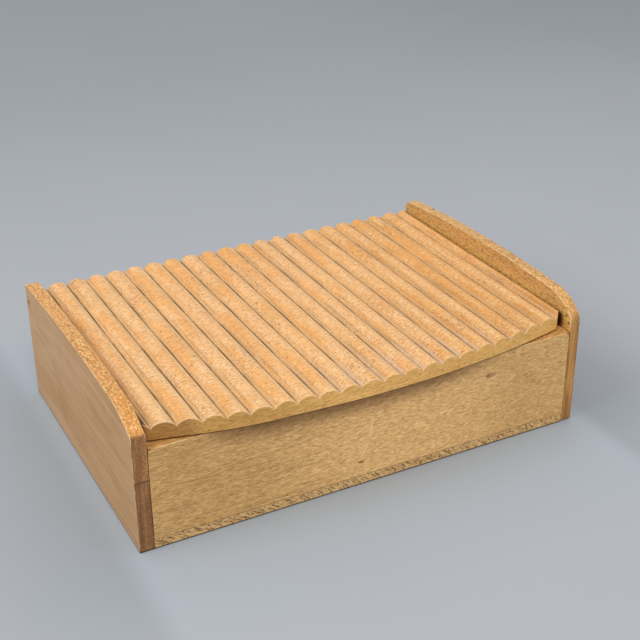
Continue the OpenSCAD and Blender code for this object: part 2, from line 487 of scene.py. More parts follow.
SOCKETS = {"value": "NodeSocketFloat", "vector": "NodeSocketVector", "colour": "NodeSocketColor",
           "count": "NodeSocketInt", "shape": "NodeSocketGeometry", "finish": "NodeSocketMaterial",
           "piece": "NodeSocketObject"}


def new_tree(name, family, inputs, outputs):
    """A node group with named sockets, and the bench, input terms and output node to build it with."""
    tree = bpy.data.node_groups.new(name, family)
    for label, kind, default in inputs:
        socket = tree.interface.new_socket(label, in_out="INPUT", socket_type=SOCKETS[kind])
        if default is not None:
            socket.default_value = default
    for label, kind in outputs:
        tree.interface.new_socket(label, in_out="OUTPUT", socket_type=SOCKETS[kind])
    bench = Bench(tree)
    entry = bench.place("NodeGroupInput")
    given = {label: bench.term(entry.outputs[label]) for label, _, _ in inputs}
    return tree, bench, given, bench.place("NodeGroupOutput")


def figure_group():
    """Beech figure along X, in millimetres: broad rings, their thin lines, fine fibres and short flecks."""
    tree, bench, given, out = new_tree(
        "beech_figure", "ShaderNodeTree",
        [("Vector", "vector", None), ("Ring Width", "value", 6.0), ("Ring Lines", "value", 5.0),
         ("Fibre Width", "value", 0.5), ("Fibre Length", "value", 6.0),
         ("Fleck Width", "value", 0.4), ("Fleck Length", "value", 1.3), ("Fleck Cover", "value", 0.3)],
        [("Rings", "value"), ("Lines", "value"), ("Fibres", "value"), ("Flecks", "value")])
    sway = bench.noise(bench.vector("MULTIPLY", given["Vector"], (0.02, 0.07, 0.07)), 1.0)
    sway = bench.vector("SUBTRACT", sway.outputs["Color"], (0.5, 0.5, 0.5))
    sway = bench.vector("MULTIPLY", sway, (0.0, 1.8, 1.8))
    place = bench.vector("ADD", given["Vector"], sway)
    ring = given["Ring Width"]
    rings = bench.spots(place, (120.0, ring, ring * 1.8), 2.0)
    step = ((rings * given["Ring Lines"]).calc("FRACT") - 0.5).calc("ABSOLUTE")
    fibre = given["Fibre Width"]
    fibres = bench.spots(place, (given["Fibre Length"], fibre, fibre), 2.0)
    fleck = given["Fleck Width"]
    flecks = bench.spots(place, (given["Fleck Length"], fleck, fleck), 1.0)
    limit = 0.72 - 0.25 * given["Fleck Cover"]
    bench.join(bench.ease(rings, 0.34, 0.66), out.inputs["Rings"])
    bench.join(bench.ease(step, 0.12, 0.0), out.inputs["Lines"])
    bench.join(bench.ease(fibres, 0.36, 0.64), out.inputs["Fibres"])
    bench.join(bench.ease(flecks, limit, limit + 0.07), out.inputs["Flecks"])
    return tree


def stain_group():
    """Colours the figure: pale and deep rings, thin ring lines, lighter and darker fibres, flecks."""
    tree, bench, given, out = new_tree(
        "beech_stain", "ShaderNodeTree",
        [("Rings", "value", 0.5), ("Lines", "value", 0.0), ("Fibres", "value", 0.5),
         ("Flecks", "value", 0.0),
         ("Pale", "colour", (0.8, 0.5, 0.2, 1)), ("Deep", "colour", (0.7, 0.4, 0.15, 1)),
         ("Dark", "colour", (0.4, 0.2, 0.08, 1)), ("Line Depth", "value", 0.2),
         ("Fibre Depth", "value", 0.12), ("Fleck Depth", "value", 0.5)],
        [("Colour", "colour")])
    colour = bench.mix(given["Rings"], given["Pale"], given["Deep"])
    colour = bench.mix(given["Lines"] * given["Line Depth"], colour, given["Dark"])
    shade = given["Fibre Depth"] * (given["Fibres"] * 2.0 - 1.0)
    shade = bench.combine(1.0 + 0.75 * shade, 1.0 + shade, 1.0 + 1.5 * shade)
    colour = bench.mix(1.0, colour, shade, "MULTIPLY")
    colour = bench.mix(given["Flecks"] * given["Fleck Depth"], colour, given["Dark"])
    bench.join(colour, out.inputs["Colour"])
    return tree


def worn_arris_group():
    """Where hands have rubbed the arrises, broken up along their length."""
    tree, bench, given, out = new_tree(
        "worn_arris", "ShaderNodeTree",
        [("Vector", "vector", None), ("Wear", "value", 0.0), ("Patch Size", "value", 5.0),
         ("Cover", "value", 0.0)],
        [("Mask", "value")])
    patch = bench.spots(given["Vector"], [given["Patch Size"]] * 3, 3.0)
    amount = given["Wear"] * bench.ease(patch, 0.25, 0.65).calc("MAXIMUM", given["Cover"])
    bench.join(bench.ease(amount, 0.2, 0.8), out.inputs["Mask"])
    return tree


def blotch_group():
    """Soft uneven blotches from handling and age."""
    tree, bench, given, out = new_tree(
        "handling_blotches", "ShaderNodeTree",
        [("Vector", "vector", None), ("Size", "value", 20.0), ("Cover", "value", 0.5)],
        [("Mask", "value")])
    cloud = bench.spots(given["Vector"], [given["Size"]] * 3, 4.0, 0.6)
    limit = 0.8 - 0.5 * given["Cover"]
    bench.join(bench.ease(cloud, limit - 0.12, limit + 0.12), out.inputs["Mask"])
    return tree


def sawn_end_group():
    """Where a face shows the end of the grain."""
    tree, bench, given, out = new_tree(
        "sawn_end", "ShaderNodeTree", [("Grain", "vector", TO_RIGHT)], [("Mask", "value")])
    normal = bench.place("ShaderNodeTexCoord").outputs["Normal"]
    lean = bench.vector("DOT_PRODUCT", normal, given["Grain"]).calc("ABSOLUTE")
    bench.join(bench.ease(lean, 0.5, 0.85), out.inputs["Mask"])
    return tree


def mark_group():
    """One knock, stain or scratch: a soft streak about a place, in millimetres."""
    tree, bench, given, out = new_tree(
        "single_mark", "ShaderNodeTree",
        [("Vector", "vector", None), ("Centre", "vector", (0.0, 0.0, 0.0)),
         ("Along", "vector", TO_RIGHT), ("Half Length", "value", 1.0), ("Half Width", "value", 0.4)],
        [("Mask", "value")])
    away = bench.vector("SUBTRACT", given["Vector"], given["Centre"])
    run = bench.vector("DOT_PRODUCT", away, given["Along"])
    across = (bench.vector("DOT_PRODUCT", away, away) - run.squared()).calc("MAXIMUM", 0.0)
    wobble = bench.cloud(given["Vector"], (1.7, 1.7, 1.7), 2.0)
    spread = (run / given["Half Length"]).squared() + across / given["Half Width"].squared()
    bench.join(bench.ease(spread + wobble, 1.6, 0.7), out.inputs["Mask"])
    return tree


FIGURE = figure_group()
STAIN = stain_group()
WORN_ARRIS = worn_arris_group()
BLOTCHES = blotch_group()
SAWN_END = sawn_end_group()
MARK = mark_group()

GRAIN_ALONG_X = {"turn": 0.0, "axis": TO_RIGHT}
GRAIN_ALONG_Y = {"turn": -90.0, "axis": TO_BACK}


def use_group(bench, tree, inputs):
    """The outputs by name of a node group that is given these inputs."""
    made = bench.place("ShaderNodeGroup", inputs, node_tree=tree)
    return {socket.name: bench.term(socket) for socket in made.outputs}


# Finishes

FINISH = {"Ring Width": 6.0, "Ring Lines": 5.0, "Fibre Width": 0.5, "Fibre Length": 6.0,
          "Fleck Width": 0.4, "Fleck Length": 1.3, "Fleck Cover": 0.3,
          "Line Depth": 0.2, "Fibre Depth": 0.12, "Fleck Depth": 0.5,
          "wear": 0.6, "cover": 0.3, "seam": 0.8, "seam_cover": 0.3, "blotch": 0.3, "rough": 0.5,
          "bump": 0.4, "end_fibre": 0.22}
BUMP_HEIGHT = 0.0002
SATIN_GLOSS = 0.45


def tone(red, green, blue):
    return (red, green, blue, 1.0)


def named(values, tree):
    """Those values that a node group has an input for."""
    labels = {item.name for item in tree.interface.items_tree if item.in_out == "INPUT"}
    return {label: value for label, value in values.items() if label in labels}


def position_in_mm(bench):
    """Place on the piece in millimetres."""
    place = bench.place("ShaderNodeVectorMath", operation="SCALE")
    bench.join(bench.place("ShaderNodeTexCoord").outputs["Object"], place.inputs[0])
    place.inputs["Scale"].default_value = 1 / MM
    return bench.term(place.outputs[0])


def attribute(bench, label):
    """An amount that the points of the mesh carry."""
    made = bench.place("ShaderNodeAttribute", attribute_name=label, attribute_type="GEOMETRY")
    return bench.term(made.outputs["Fac"])


def new_material(name):
    """A material with no nodes yet, and the bench to build it with."""
    material = bpy.data.materials.new(name)
    material.use_nodes = True
    material.node_tree.nodes.clear()
    return material, Bench(material.node_tree)


def beech(name, grain, offset, tones, marks=(), detail=None, **changes):
    """A beech finish: figure, end grain, blotches, a piece's own detail, rubbed arrises, seams that at some
    feet and lower edges are painted shade, marks.
    """
    finish = {**FINISH, **changes}
    material, bench = new_material(name)
    place = position_in_mm(bench)
    rotation = (0.0, 0.0, math.radians(grain["turn"]))
    turned = bench.place("ShaderNodeMapping", {
        "Vector": place, "Location": offset, "Rotation": rotation}).outputs[0]
    figure = use_group(bench, FIGURE, {**named(finish, FIGURE), "Vector": turned})
    stain = {**named(finish, STAIN), **figure, "Dark": tones["dark"]}
    colour = use_group(bench, STAIN, {**stain, "Pale": tones["pale"], "Deep": tones["deep"]})["Colour"]
    ends = use_group(bench, STAIN, {**stain, "Pale": tones["end_pale"], "Deep": tones["end_deep"],
                                    "Fibre Depth": finish["end_fibre"]})["Colour"]
    colour = bench.mix(use_group(bench, SAWN_END, {"Grain": grain["axis"]})["Mask"], colour, ends)
    blotch = use_group(bench, BLOTCHES, {"Vector": turned, "Cover": 0.4})["Mask"]
    colour = bench.mix(blotch * finish["blotch"], colour, tones["blotch"], "MULTIPLY")
    height = figure["Fibres"] - figure["Flecks"]
    if detail:
        colour, height = detail(bench, place, colour, height)
    arris = attribute(bench, "wear")
    rubbed = use_group(bench, WORN_ARRIS, {
        "Vector": place, "Wear": arris, "Cover": finish["cover"]})["Mask"]
    colour = bench.mix(rubbed * finish["wear"], colour, tones["worn"])
    # Negative wear shows as dark seams: real joints, and at some feet and lower edges painted shade and
    # grime.
    seam = use_group(bench, WORN_ARRIS, {
        "Vector": place, "Wear": arris * -1.6, "Patch Size": 12.0, "Cover": finish["seam_cover"]})["Mask"]
    colour = bench.mix(seam * finish["seam"], colour, tones["seam"])
    for tint, depth, centre, way, half_length, half_width in marks:
        mask = use_group(bench, MARK, {
            "Vector": place, "Centre": centre, "Along": way,
            "Half Length": half_length, "Half Width": half_width})["Mask"]
        colour = bench.mix(mask * depth, colour, tint)
    relief = bench.place("ShaderNodeBump", {
        "Strength": finish["bump"], "Distance": BUMP_HEIGHT, "Height": height})
    rough = finish["rough"] + 0.12 * blotch + 0.1 * (1.0 - figure["Fibres"]) + 0.3 * seam
    bench.surface({"Base Color": colour, "Roughness": rough, "Normal": relief.outputs[0],
                   "Specular IOR Level": SATIN_GLOSS})
    return material


def facing(bench, way):
    """How far a face looks a given way, from 0 to 1."""
    normal = bench.place("ShaderNodeTexCoord").outputs["Normal"]
    return bench.ease(bench.vector("DOT_PRODUCT", normal, way), 0.45, 0.85)


def facing_either(bench, way, other_way):
    """How far a face looks one of two ways."""
    return bench.calc("MAXIMUM", facing(bench, way), facing(bench, other_way))


def wander(bench, across):
    """How far the hand-run reeds lie off an even pitch at a place across the lid, in millimetres."""
    made = bench.place("ShaderNodeFloatCurve", {"Value": across / (2 * WANDER_SPAN) + 0.5})
    curve = made.mapping.curves[0]
    while len(curve.points) < len(REED_WANDER):
        curve.points.new(0.5, 0.5)
    for point, (place, shift) in zip(curve.points, REED_WANDER):
        point.location = (place / (2 * WANDER_SPAN) + 0.5, shift / 2 + 0.5)
    made.mapping.update()
    return (bench.term(made.outputs[0]) - 0.5) * 2.0


class ReedPlace:
    """Where a point of the lid lies, and where it is between the valleys on both sides of its reed."""

    def __init__(self, bench, place):
        self.place = place
        self.across, self.deep, self.level = bench.split(place)
        valley_z = lid_high[2] - REED_H
        self.front = facing(bench, TO_FRONT)
        self.reeds = bench.ease(self.level, valley_z - 0.4, valley_z - 0.15) * (1.0 - self.front)
        self.phase = ((self.across - wander(bench, self.across) + REED_OFFSET) / REED_PITCH).calc("FRACT")
        self.off_crown = (self.phase - 0.5).calc("ABSOLUTE") * 2.0
        self.from_valley = (1.0 - self.off_crown) * (REED_PITCH / 2)
        self.to_front = bench.ease(self.deep, 5.0, -25.0)
        self.to_right = bench.ease(self.across, 15.0, 52.0)


def reed_tones_and_painted_light(bench, at, colour):
    """Slow changes over the lid: paler at the left and more orange at the right, with painted shade on the
    flanks and the feet of the left flanks, and painted light on the crests at the right.
    """
    colour = bench.tint(at.reeds * bench.ease(at.across, 0.0, 62.0), colour, (0.92, 0.87, 0.74))
    # Painted shade: the flanks at the right front are darkened.
    flank_shade = at.to_right * at.to_front * bench.ease(at.off_crown, 0.2, 0.5)
    colour = bench.tint(at.reeds * flank_shade, colour, (0.88, 0.86, 0.8))
    # Painted light: the crests at the right, most in front, are painted paler.
    crest_light = at.to_right * (0.35 + 0.65 * at.to_front) * bench.ease(at.off_crown, 0.55, 0.2)
    colour = bench.mix(at.reeds * crest_light * 0.16, colour, tone(0.98, 0.7, 0.4))
    # Painted shade: the left flanks in front, away from the right, are darkened.
    left_flank_shade = at.to_front * (1.0 - at.to_right) * bench.ease(at.phase, 0.5, 0.4)
    colour = bench.tint(at.reeds * left_flank_shade, colour, (0.94, 0.91, 0.85))
    # Painted shade: the foot of each left flank, next to the valley, is darkened, most in front.
    left_foot_shade = bench.ease(at.phase, 0.24, 0.1) * (0.3 + 0.7 * at.to_front) * (1.0 - 0.5 * at.to_right)
    colour = bench.tint(at.reeds * left_foot_shade, colour, (0.86, 0.88, 0.9))
    return bench.tint(at.reeds * bench.ease(at.across, -10.0, -60.0), colour, (1.0, 1.03, 1.08))


def reed_texture(bench, at, warm, fuzz, colour):
    """Warm and dusty stretches, painted light on the right flanks and by the valleys on the left flanks,
    hatching across the reeds, sparse dark specks and thin tool lines.
    """
    colour = bench.tint(warm * at.reeds, colour, (0.98, 0.9, 0.73))
    dusty = bench.ease(bench.cloud(at.place, (0.6, 0.03, 0.3), 2.0), 0.5, 0.63)
    dusty = dusty * bench.ease(at.off_crown, 0.15, 0.6) * at.reeds
    colour = bench.tint(dusty * 0.7, colour, (0.87, 0.91, 0.97))
    # Painted light: the right flank of each reed is painted paler, less so at the right and least at the
    # right front.
    pale = 0.55 - 0.15 * at.to_right - 0.3 * at.to_right * at.to_front
    right_flank_light = bench.ease(at.phase, 0.68, 0.86) * pale
    colour = bench.mix(right_flank_light * at.reeds, colour, tone(1.0, 0.73, 0.375))
    # Painted light: the foot of each reed's left flank, next to the valley, is painted paler and more
    # orange.
    colour = bench.mix(bench.ease(at.phase, 0.16, 0.06) * 0.5 * at.reeds, colour, tone(0.98, 0.62, 0.3))

    hatched = (1.0 - 0.65 * warm) * at.reeds
    scuff = bench.ease(fuzz, 0.48, 0.6) * bench.ease(at.off_crown, 0.98, 0.45) * hatched
    colour = bench.mix(scuff * 0.8, colour, tone(0.99, 0.68, 0.41))
    hatch = bench.ease(fuzz, 0.46, 0.36) * hatched
    colour = bench.mix(hatch * 0.66, colour, tone(0.62, 0.33, 0.125))
    speck = bench.cloud(at.place, (1.1, 1.3, 1.1), 2.0, 0.65)
    density = bench.cloud(at.place, (0.09, 0.05, 0.1), 2.0)
    specks = bench.ease(speck + 0.35 * density, 0.8, 0.86) * at.reeds
    colour = bench.mix(specks * 0.8, colour, tone(0.4, 0.18, 0.07))
    lines = bench.ease(bench.cloud(at.place, (2.0, 0.035, 1.0), 2.0), 0.57, 0.62)
    lines = lines * bench.ease(at.off_crown, 0.3, 0.75) * at.reeds
    colour = bench.mix(lines * 0.6, colour, tone(0.42, 0.26, 0.12))
    return bench.tint(at.to_right * at.reeds, colour, (0.99, 0.97, 0.9))


def reed_valleys(bench, at, fuzz, colour):
    """Darker up the left flanks by the valleys, pale dust in front, a thin uneven dark line, painted shade
    at the left cheek.
    """
    uneven = bench.ease(bench.cloud(at.place, (0.14, 0.07, 0.1), 4.0), 0.36, 0.62)
    darkening = bench.ease(at.from_valley, 1.2, 0.2) * bench.ease(at.phase, 0.5, 0.3) * uneven * at.reeds
    colour = bench.mix(darkening * 0.14, colour, tone(0.5, 0.36, 0.22))
    dust = bench.ease(at.deep, -36.0, -50.0) * bench.ease(at.across, -30.0, -5.0)
    dust = dust * bench.ease(at.across, 55.0, 30.0) * bench.ease(at.from_valley, 1.8, 0.3)
    dust = dust * bench.ease(fuzz, 0.4, 0.55) * at.reeds
    colour = bench.mix(dust * 0.6, colour, tone(0.72, 0.54, 0.42))
    width = 0.17 + 0.15 * uneven
    line = bench.ease(at.from_valley, width, width * 0.45) * (0.55 + 0.45 * uneven)
    line = line * (1.0 - 0.7 * attribute(bench, "edge")) * at.reeds
    colour = bench.mix(line * 0.9, colour, tone(0.15, 0.065, 0.016))
    # Painted shade: the lid's leftmost flank is darkened next to the left cheek, more towards the front.
    gap = bench.ease(at.across, lid_low[0] + 1.7, lid_low[0] + 0.8)
    gap = gap * (0.5 + 0.5 * bench.ease(at.deep, 35.0, -20.0))
    return bench.tint(gap * at.reeds, colour, (0.12, 0.065, 0.03))


def lid_edges(bench, at, colour):
    """A yellowish gritty front edge with a dark lower line of painted shade and grime, ends darkened as
    painted shade, and a stripe of painted shade where the lid rests on the front panel.
    """
    colour = bench.tint(at.front, colour, (0.95, 0.97, 0.7))
    grit = bench.cloud(at.place, (1.1, 1.1, 2.2), 3.0, 0.65)
    colour = bench.mix(at.front * bench.ease(grit, 0.54, 0.66) * 0.55, colour, tone(0.92, 0.62, 0.27))
    colour = bench.mix(at.front * bench.ease(grit, 0.46, 0.34) * 0.5, colour, tone(0.5, 0.29, 0.09))
    colour = bench.tint(at.front * bench.ease(at.across, -10.0, -45.0), colour, (0.75, 0.71, 0.62))
    colour = bench.tint(at.front * bench.ease(at.across, -57.0, -65.0), colour, (0.68, 0.61, 0.53))
    below = facing(bench, DOWN)
    # Painted shade and grime: a dark line along the lid's lower front edge.
    foot = bench.ease(at.level, lid_low[2] + 0.45, lid_low[2] + 0.2)
    foot = foot * bench.ease(at.deep, 0.0, -20.0) * (1.0 - below)
    colour = bench.mix(foot * 0.9, colour, tone(0.1, 0.04, 0.014))
    # Painted shade: the lid's end faces are darkened in the gaps beside the cheeks.
    ends = facing_either(bench, TO_RIGHT, TO_LEFT)
    colour = bench.tint(ends * (1.0 - at.reeds), colour, (0.4, 0.3, 0.2))
    # Painted shade: a darker stripe on the underside where the lid rests on the front panel.
    rest_shade = bench.ease(at.deep, CASE_FRONT + PANEL_T + 1.0, CASE_FRONT + PANEL_T - 0.5)
    rest_shade = rest_shade * bench.ease(at.deep, CASE_FRONT - 0.8, CASE_FRONT + 0.4) * below
    return bench.tint(rest_shade, colour, (0.8, 0.72, 0.62))


def reed_detail(bench, place, colour, height):
    """The lid's own detail: toned and fuzzy reeds with darkened valleys, painted light and shade on the
    reeds, and darker edges that are partly painted shade.
    """
    at = ReedPlace(bench, place)
    warm = bench.ease(bench.cloud(place, (0.16, 0.035, 0.1), 3.0), 0.45, 0.58)
    warm = warm * bench.ease(at.phase, 0.9, 0.5)
    fuzz = bench.cloud(place, (0.65, 2.2, 0.65), 4.0, 0.7)
    colour = reed_tones_and_painted_light(bench, at, colour)
    colour = reed_texture(bench, at, warm, fuzz, colour)
    colour = reed_valleys(bench, at, fuzz, colour)
    return lid_edges(bench, at, colour), height + fuzz


# Painted contact shadow and grime where a piece stands on the table.
FOOT_SHADE_AND_GRIME = tone(0.05, 0.028, 0.014)


def foot_line(bench, level, colour):
    """A thin dark line where a piece stands on the table: painted contact shadow and grime."""
    line = bench.ease(level, 0.75, 0.35) * (1.0 - facing(bench, DOWN))
    return bench.mix(line * 0.85, colour, FOOT_SHADE_AND_GRIME)


def end_detail(bench, place, colour, height):
    """Upright streaks of the rings on a cheek's ends, and a dark line of painted contact shadow and grime
    along its foot.
    """
    ends = facing_either(bench, TO_FRONT, TO_BACK)
    streak = bench.cloud(place, (0.8, 0.1, 0.05), 3.0)
    colour = bench.tint(ends * bench.ease(streak, 0.5, 0.6), colour, (0.78, 0.72, 0.66))
    colour = bench.tint(ends * bench.ease(streak, 0.46, 0.38), colour, (1.22, 1.2, 1.15))
    return foot_line(bench, bench.split(place)[2], colour), height


def cheek_detail(inward, top_light_tint):
    """A top tinted as painted light, open pores and pale rubbed spots, and painted light and shade inside
    next to the lid.
    """
    def detail(bench, place, colour, height):
        colour, height = end_detail(bench, place, colour, height)
        _, deep, level = bench.split(place)
        on_top = facing(bench, UP)
        inside = facing(bench, inward)
        # Painted light: the top faces get a tint for the light that falls on them.
        colour = bench.tint(on_top, colour, top_light_tint)
        pores = bench.ease(bench.cloud(place, (2.7, 0.6, 2.7), 2.0), 0.54, 0.61)
        pores = pores * bench.calc("MAXIMUM", on_top * 0.9, inside)
        colour = bench.mix(pores * 0.85, colour, tone(0.36, 0.165, 0.055))
        spots = bench.ease(bench.cloud(place, (1.5, 1.1, 1.5), 3.0), 0.53, 0.6) * on_top
        colour = bench.mix(spots * 0.75, colour, tone(1.0, 0.61, 0.25))
        colour = bench.tint(on_top * bench.ease(deep, -25.0, -50.0), colour, (1.05, 0.99, 0.86))
        # Painted light: the inner face below the lid's top is painted lighter and warmer.
        inside_light_tint = inside * bench.ease(level, lid_high[2] + 3.5, lid_high[2] - 0.5)
        colour = bench.tint(inside_light_tint, colour, (1.12, 1.15, 0.95))
        # Painted shade: the gap between the inner face and the lid's end is darkened, darkest near the
        # front end.
        darkening = inside * bench.ease(level, lid_high[2] - 0.3, lid_high[2] - 2.2)
        darkening = darkening * bench.ease(level, lid_low[2] - 1.5, lid_low[2])
        darkening = darkening * bench.ease(deep, CASE_FRONT + 3.4, CASE_FRONT + 6.0)
        colour = bench.tint(darkening, colour, (0.4, 0.3, 0.2))
        corner = darkening * bench.ease(deep, CASE_FRONT + 14.0, CASE_FRONT + 8.0)
        return bench.tint(corner, colour, (0.3, 0.22, 0.16)), height - pores
    return detail


def panel_detail(light_pool_share, overhang_shadow_share):
    """A middle painted paler as a pool of light, a painted shadow below the lid's edge, long brown lines
    and fine grain.
    """
    def detail(bench, place, colour, height):
        across, _, level = bench.split(place)
        # Painted light: a paler pool of light across the middle of the face.
        painted_light_pool = bench.ease(across, -55.0, -5.0) * (1.0 - 0.8 * bench.ease(across, 20.0, 62.0)) * light_pool_share
        colour = bench.tint(painted_light_pool, colour, (1.29, 1.33, 1.46))
        # Painted shadow: a darker stretch that the lid's overhang would cast below its edge, longest where
        # the lid reaches furthest out.
        reach = CASE_FRONT - lid_low[1] - LID_END_SETBACK * (across / lid_high[0]).squared()
        drop = (PANEL_TOP - level) / reach.calc("MAXIMUM", 0.5)
        overhang_shadow = bench.ease(drop, 2.1, 0.6) * bench.ease((across + 8.0).calc("ABSOLUTE"), 62.0, 28.0)
        overhang_shadow = overhang_shadow * overhang_shadow_share
        colour = bench.tint(overhang_shadow, colour, (0.46, 0.41, 0.36))
        vein = bench.cloud(place, (0.022, 0.4, 0.4), 3.0, 0.6)
        veins = bench.ease((vein - 0.5).calc("ABSOLUTE"), 0.04, 0.0) * bench.ease(across, 10.0, -35.0)
        colour = bench.mix(veins * 0.6, colour, tone(0.46, 0.25, 0.085))
        grain = bench.cloud(place, (0.75, 1.6, 2.8), 1.0)
        colour = bench.tint(bench.ease(grain, 0.46, 0.34), colour, (0.81, 0.79, 0.74))
        colour = bench.tint(bench.ease(grain, 0.54, 0.66), colour, (1.17, 1.18, 1.22))
        return bench.tint(facing(bench, UP), colour, (0.86, 0.78, 0.68)), height
    return detail


def torn_detail(bench, place, colour, height):
    """Pale chips and brown torn fibres along the base board's sawn edges."""
    torn = attribute(bench, "torn")
    chips = bench.ease(bench.cloud(place, (0.9, 0.9, 1.8), 2.0), 0.54, 0.62) * (1.0 - facing(bench, DOWN))
    colour = bench.mix(chips * 0.6, colour, tone(0.93, 0.66, 0.36))
    colour = bench.mix(torn * 0.95, colour, tone(0.2, 0.1, 0.03))
    return foot_line(bench, bench.split(place)[2], colour), height - torn


def wood_tones(**colours):
    """The named tones of a wood, with the dark of its seams and the tint of its blotches."""
    shared = {"seam": tone(0.09, 0.04, 0.015), "blotch": tone(0.74, 0.68, 0.58)}
    return {**shared, **{name: tone(*colour) for name, colour in colours.items()}}


LID_TONES = wood_tones(
    pale=(0.95, 0.51, 0.193), deep=(0.91, 0.46, 0.158),
    end_pale=(0.66, 0.38, 0.15), end_deep=(0.55, 0.3, 0.11),
    dark=(0.42, 0.18, 0.06), worn=(0.98, 0.68, 0.37))
LID_FIGURE = {"Fleck Cover": 0.3, "Fleck Width": 0.55, "Fleck Length": 1.2, "Fleck Depth": 0.6,
              "Line Depth": 0.03, "Ring Width": 20.0,
              "Fibre Width": 0.6, "Fibre Length": 3.2, "Fibre Depth": 0.13}
LID_BEECH = beech("reeded_beech", GRAIN_ALONG_X, (13.0, 40.0, 7.0), LID_TONES, detail=reed_detail,
                  wear=0.4, cover=0.2, seam=0.92, seam_cover=0.9, **LID_FIGURE)

# A mark has a colour, a depth, a centre, a direction of length 1, half a length and half a width
BROWN_MARK = tone(0.28, 0.13, 0.04)
PALE_MARK = tone(0.95, 0.7, 0.4)
IRON_STAIN = tone(0.05, 0.024, 0.012)
GLUE_STAIN = tone(0.12, 0.055, 0.02)
FRONT_MARKS = [
    (BROWN_MARK, 0.55, (44.2, CASE_FRONT, 27.7), TO_RIGHT, 2.4, 1.1),
    (BROWN_MARK, 0.8, (43.1, CASE_FRONT, 27.5), TO_RIGHT, 1.0, 0.8),
    (BROWN_MARK, 0.95, (-5.0, CASE_FRONT, 8.8), TO_RIGHT, 1.3, 0.6),
    (BROWN_MARK, 0.8, (-31.5, CASE_FRONT, 4.8), UP, 0.5, 0.4),
    (BROWN_MARK, 0.7, (73.0, CASE_FRONT, 24.9), TO_RIGHT, 1.0, 0.4),
    (BROWN_MARK, 0.7, (9.7, CASE_FRONT, 8.8), UP, 0.45, 0.4),
    (BROWN_MARK, 0.5, (-29.1, CASE_FRONT, 29.2), (-0.3, 0.0, -0.954), 1.4, 0.25),
    (BROWN_MARK, 0.3, (-65.1, CASE_FRONT, 20.7), (0.997, 0.0, -0.074), 9.5, 0.3),
    (BROWN_MARK, 0.25, (-40.4, CASE_FRONT, 19.3), (0.99755, 0.0, -0.06996), 12.0, 0.3),
    (PALE_MARK, 0.8, (-1.1, CASE_FRONT, 21.3), (-0.127, 0.0, -0.992), 5.4, 0.3),
    (PALE_MARK, 0.8, (-3.4, CASE_FRONT, 13.3), (-0.483, 0.0, -0.875), 3.5, 0.3)]
GLUE_MARK = (GLUE_STAIN, 0.75, (left_upper_low[0] + 2.4, CASE_FRONT, GLUE_Z), TO_RIGHT, 3.0, 0.36)
LEFT_MARKS = [(IRON_STAIN, 0.85, (left_upper_low[0], hinge[1], hinge[2]), UP, 1.4, 1.0), GLUE_MARK]
RIGHT_DING_Y = 37.6
RIGHT_MARKS = [
    (IRON_STAIN, 0.85, (right_high[0], hinge[1], hinge[2]), UP, 1.4, 1.0),
    (IRON_STAIN, 0.85, (right_high[0] - 0.7, RIGHT_DING_Y, 47.0), TO_BACK, 1.4, 0.8),
    (IRON_STAIN, 0.75, (right_low[0], -51.5, 41.0), UP, 0.7, 0.55),
    (IRON_STAIN, 0.75, (right_low[0], -52.8, 38.6), UP, 0.8, 0.6)]

PANEL_TONES = wood_tones(
    pale=(0.71, 0.41, 0.149), deep=(0.68, 0.386, 0.135),
    end_pale=(0.5, 0.3, 0.13), end_deep=(0.42, 0.23, 0.1),
    dark=(0.4, 0.21, 0.08), worn=(0.95, 0.7, 0.38))
PANEL_FIGURE = {"Fibre Width": 0.15, "Fibre Length": 2.4, "Fibre Depth": 0.24, "Fleck Width": 0.16,
                "Fleck Length": 1.8, "Fleck Cover": 0.33, "Fleck Depth": 0.4, "Ring Width": 14.0,
                "Line Depth": 0.0, "bump": 0.05, "seam_cover": 0.6}
FRONT_BEECH = beech("front_beech", GRAIN_ALONG_X, (71.0, 12.0, 3.0), PANEL_TONES, FRONT_MARKS,
                    panel_detail(1.0, 1.0), **PANEL_FIGURE)
BACK_BEECH = beech("back_beech", GRAIN_ALONG_X, (171.0, -33.0, 19.0), PANEL_TONES, (),
                   panel_detail(0.4, 0.0), **PANEL_FIGURE)

CHEEK_TONES = wood_tones(
    pale=(0.64, 0.38, 0.184), deep=(0.585, 0.333, 0.148), end_pale=(0.48, 0.228, 0.076),
    end_deep=(0.37, 0.165, 0.053), dark=(0.42, 0.21, 0.08), worn=(1.0, 0.74, 0.46))
LEFT_LOWER_TONES = {**CHEEK_TONES, **wood_tones(
    end_pale=(0.347, 0.153, 0.053), end_deep=(0.267, 0.113, 0.038))}
RIGHT_TONES = {**CHEEK_TONES, **wood_tones(
    pale=(0.77, 0.45, 0.155), deep=(0.68, 0.36, 0.105), end_pale=(0.59, 0.292, 0.075),
    end_deep=(0.463, 0.204, 0.048), worn=(1.0, 0.74, 0.42))}
DIVIDER_TONES = {**CHEEK_TONES, **wood_tones(end_pale=(0.62, 0.37, 0.18), end_deep=(0.5, 0.28, 0.12))}
CHEEK_FIGURE = {"Fibre Width": 0.6, "Fibre Length": 45.0, "Fibre Depth": 0.1, "Fleck Width": 0.3,
                "Fleck Length": 2.5, "Fleck Cover": 0.12, "Fleck Depth": 0.25, "Ring Width": 10.0,
                "Ring Lines": 4.0, "Line Depth": 0.24}
RIGHT_FIGURE = {**CHEEK_FIGURE, "Fibre Width": 0.4, "Fibre Length": 12.0, "Fleck Cover": 0.32,
                "Fleck Depth": 0.4}
LEFT_UPPER_BEECH = beech("left_upper_beech", GRAIN_ALONG_Y, (5.0, 91.0, 40.0), CHEEK_TONES, LEFT_MARKS,
                         cheek_detail(TO_RIGHT, (1.2, 0.96, 0.58)),
                         cover=0.45, wear=0.55, seam=0.9, seam_cover=0.8, **CHEEK_FIGURE)
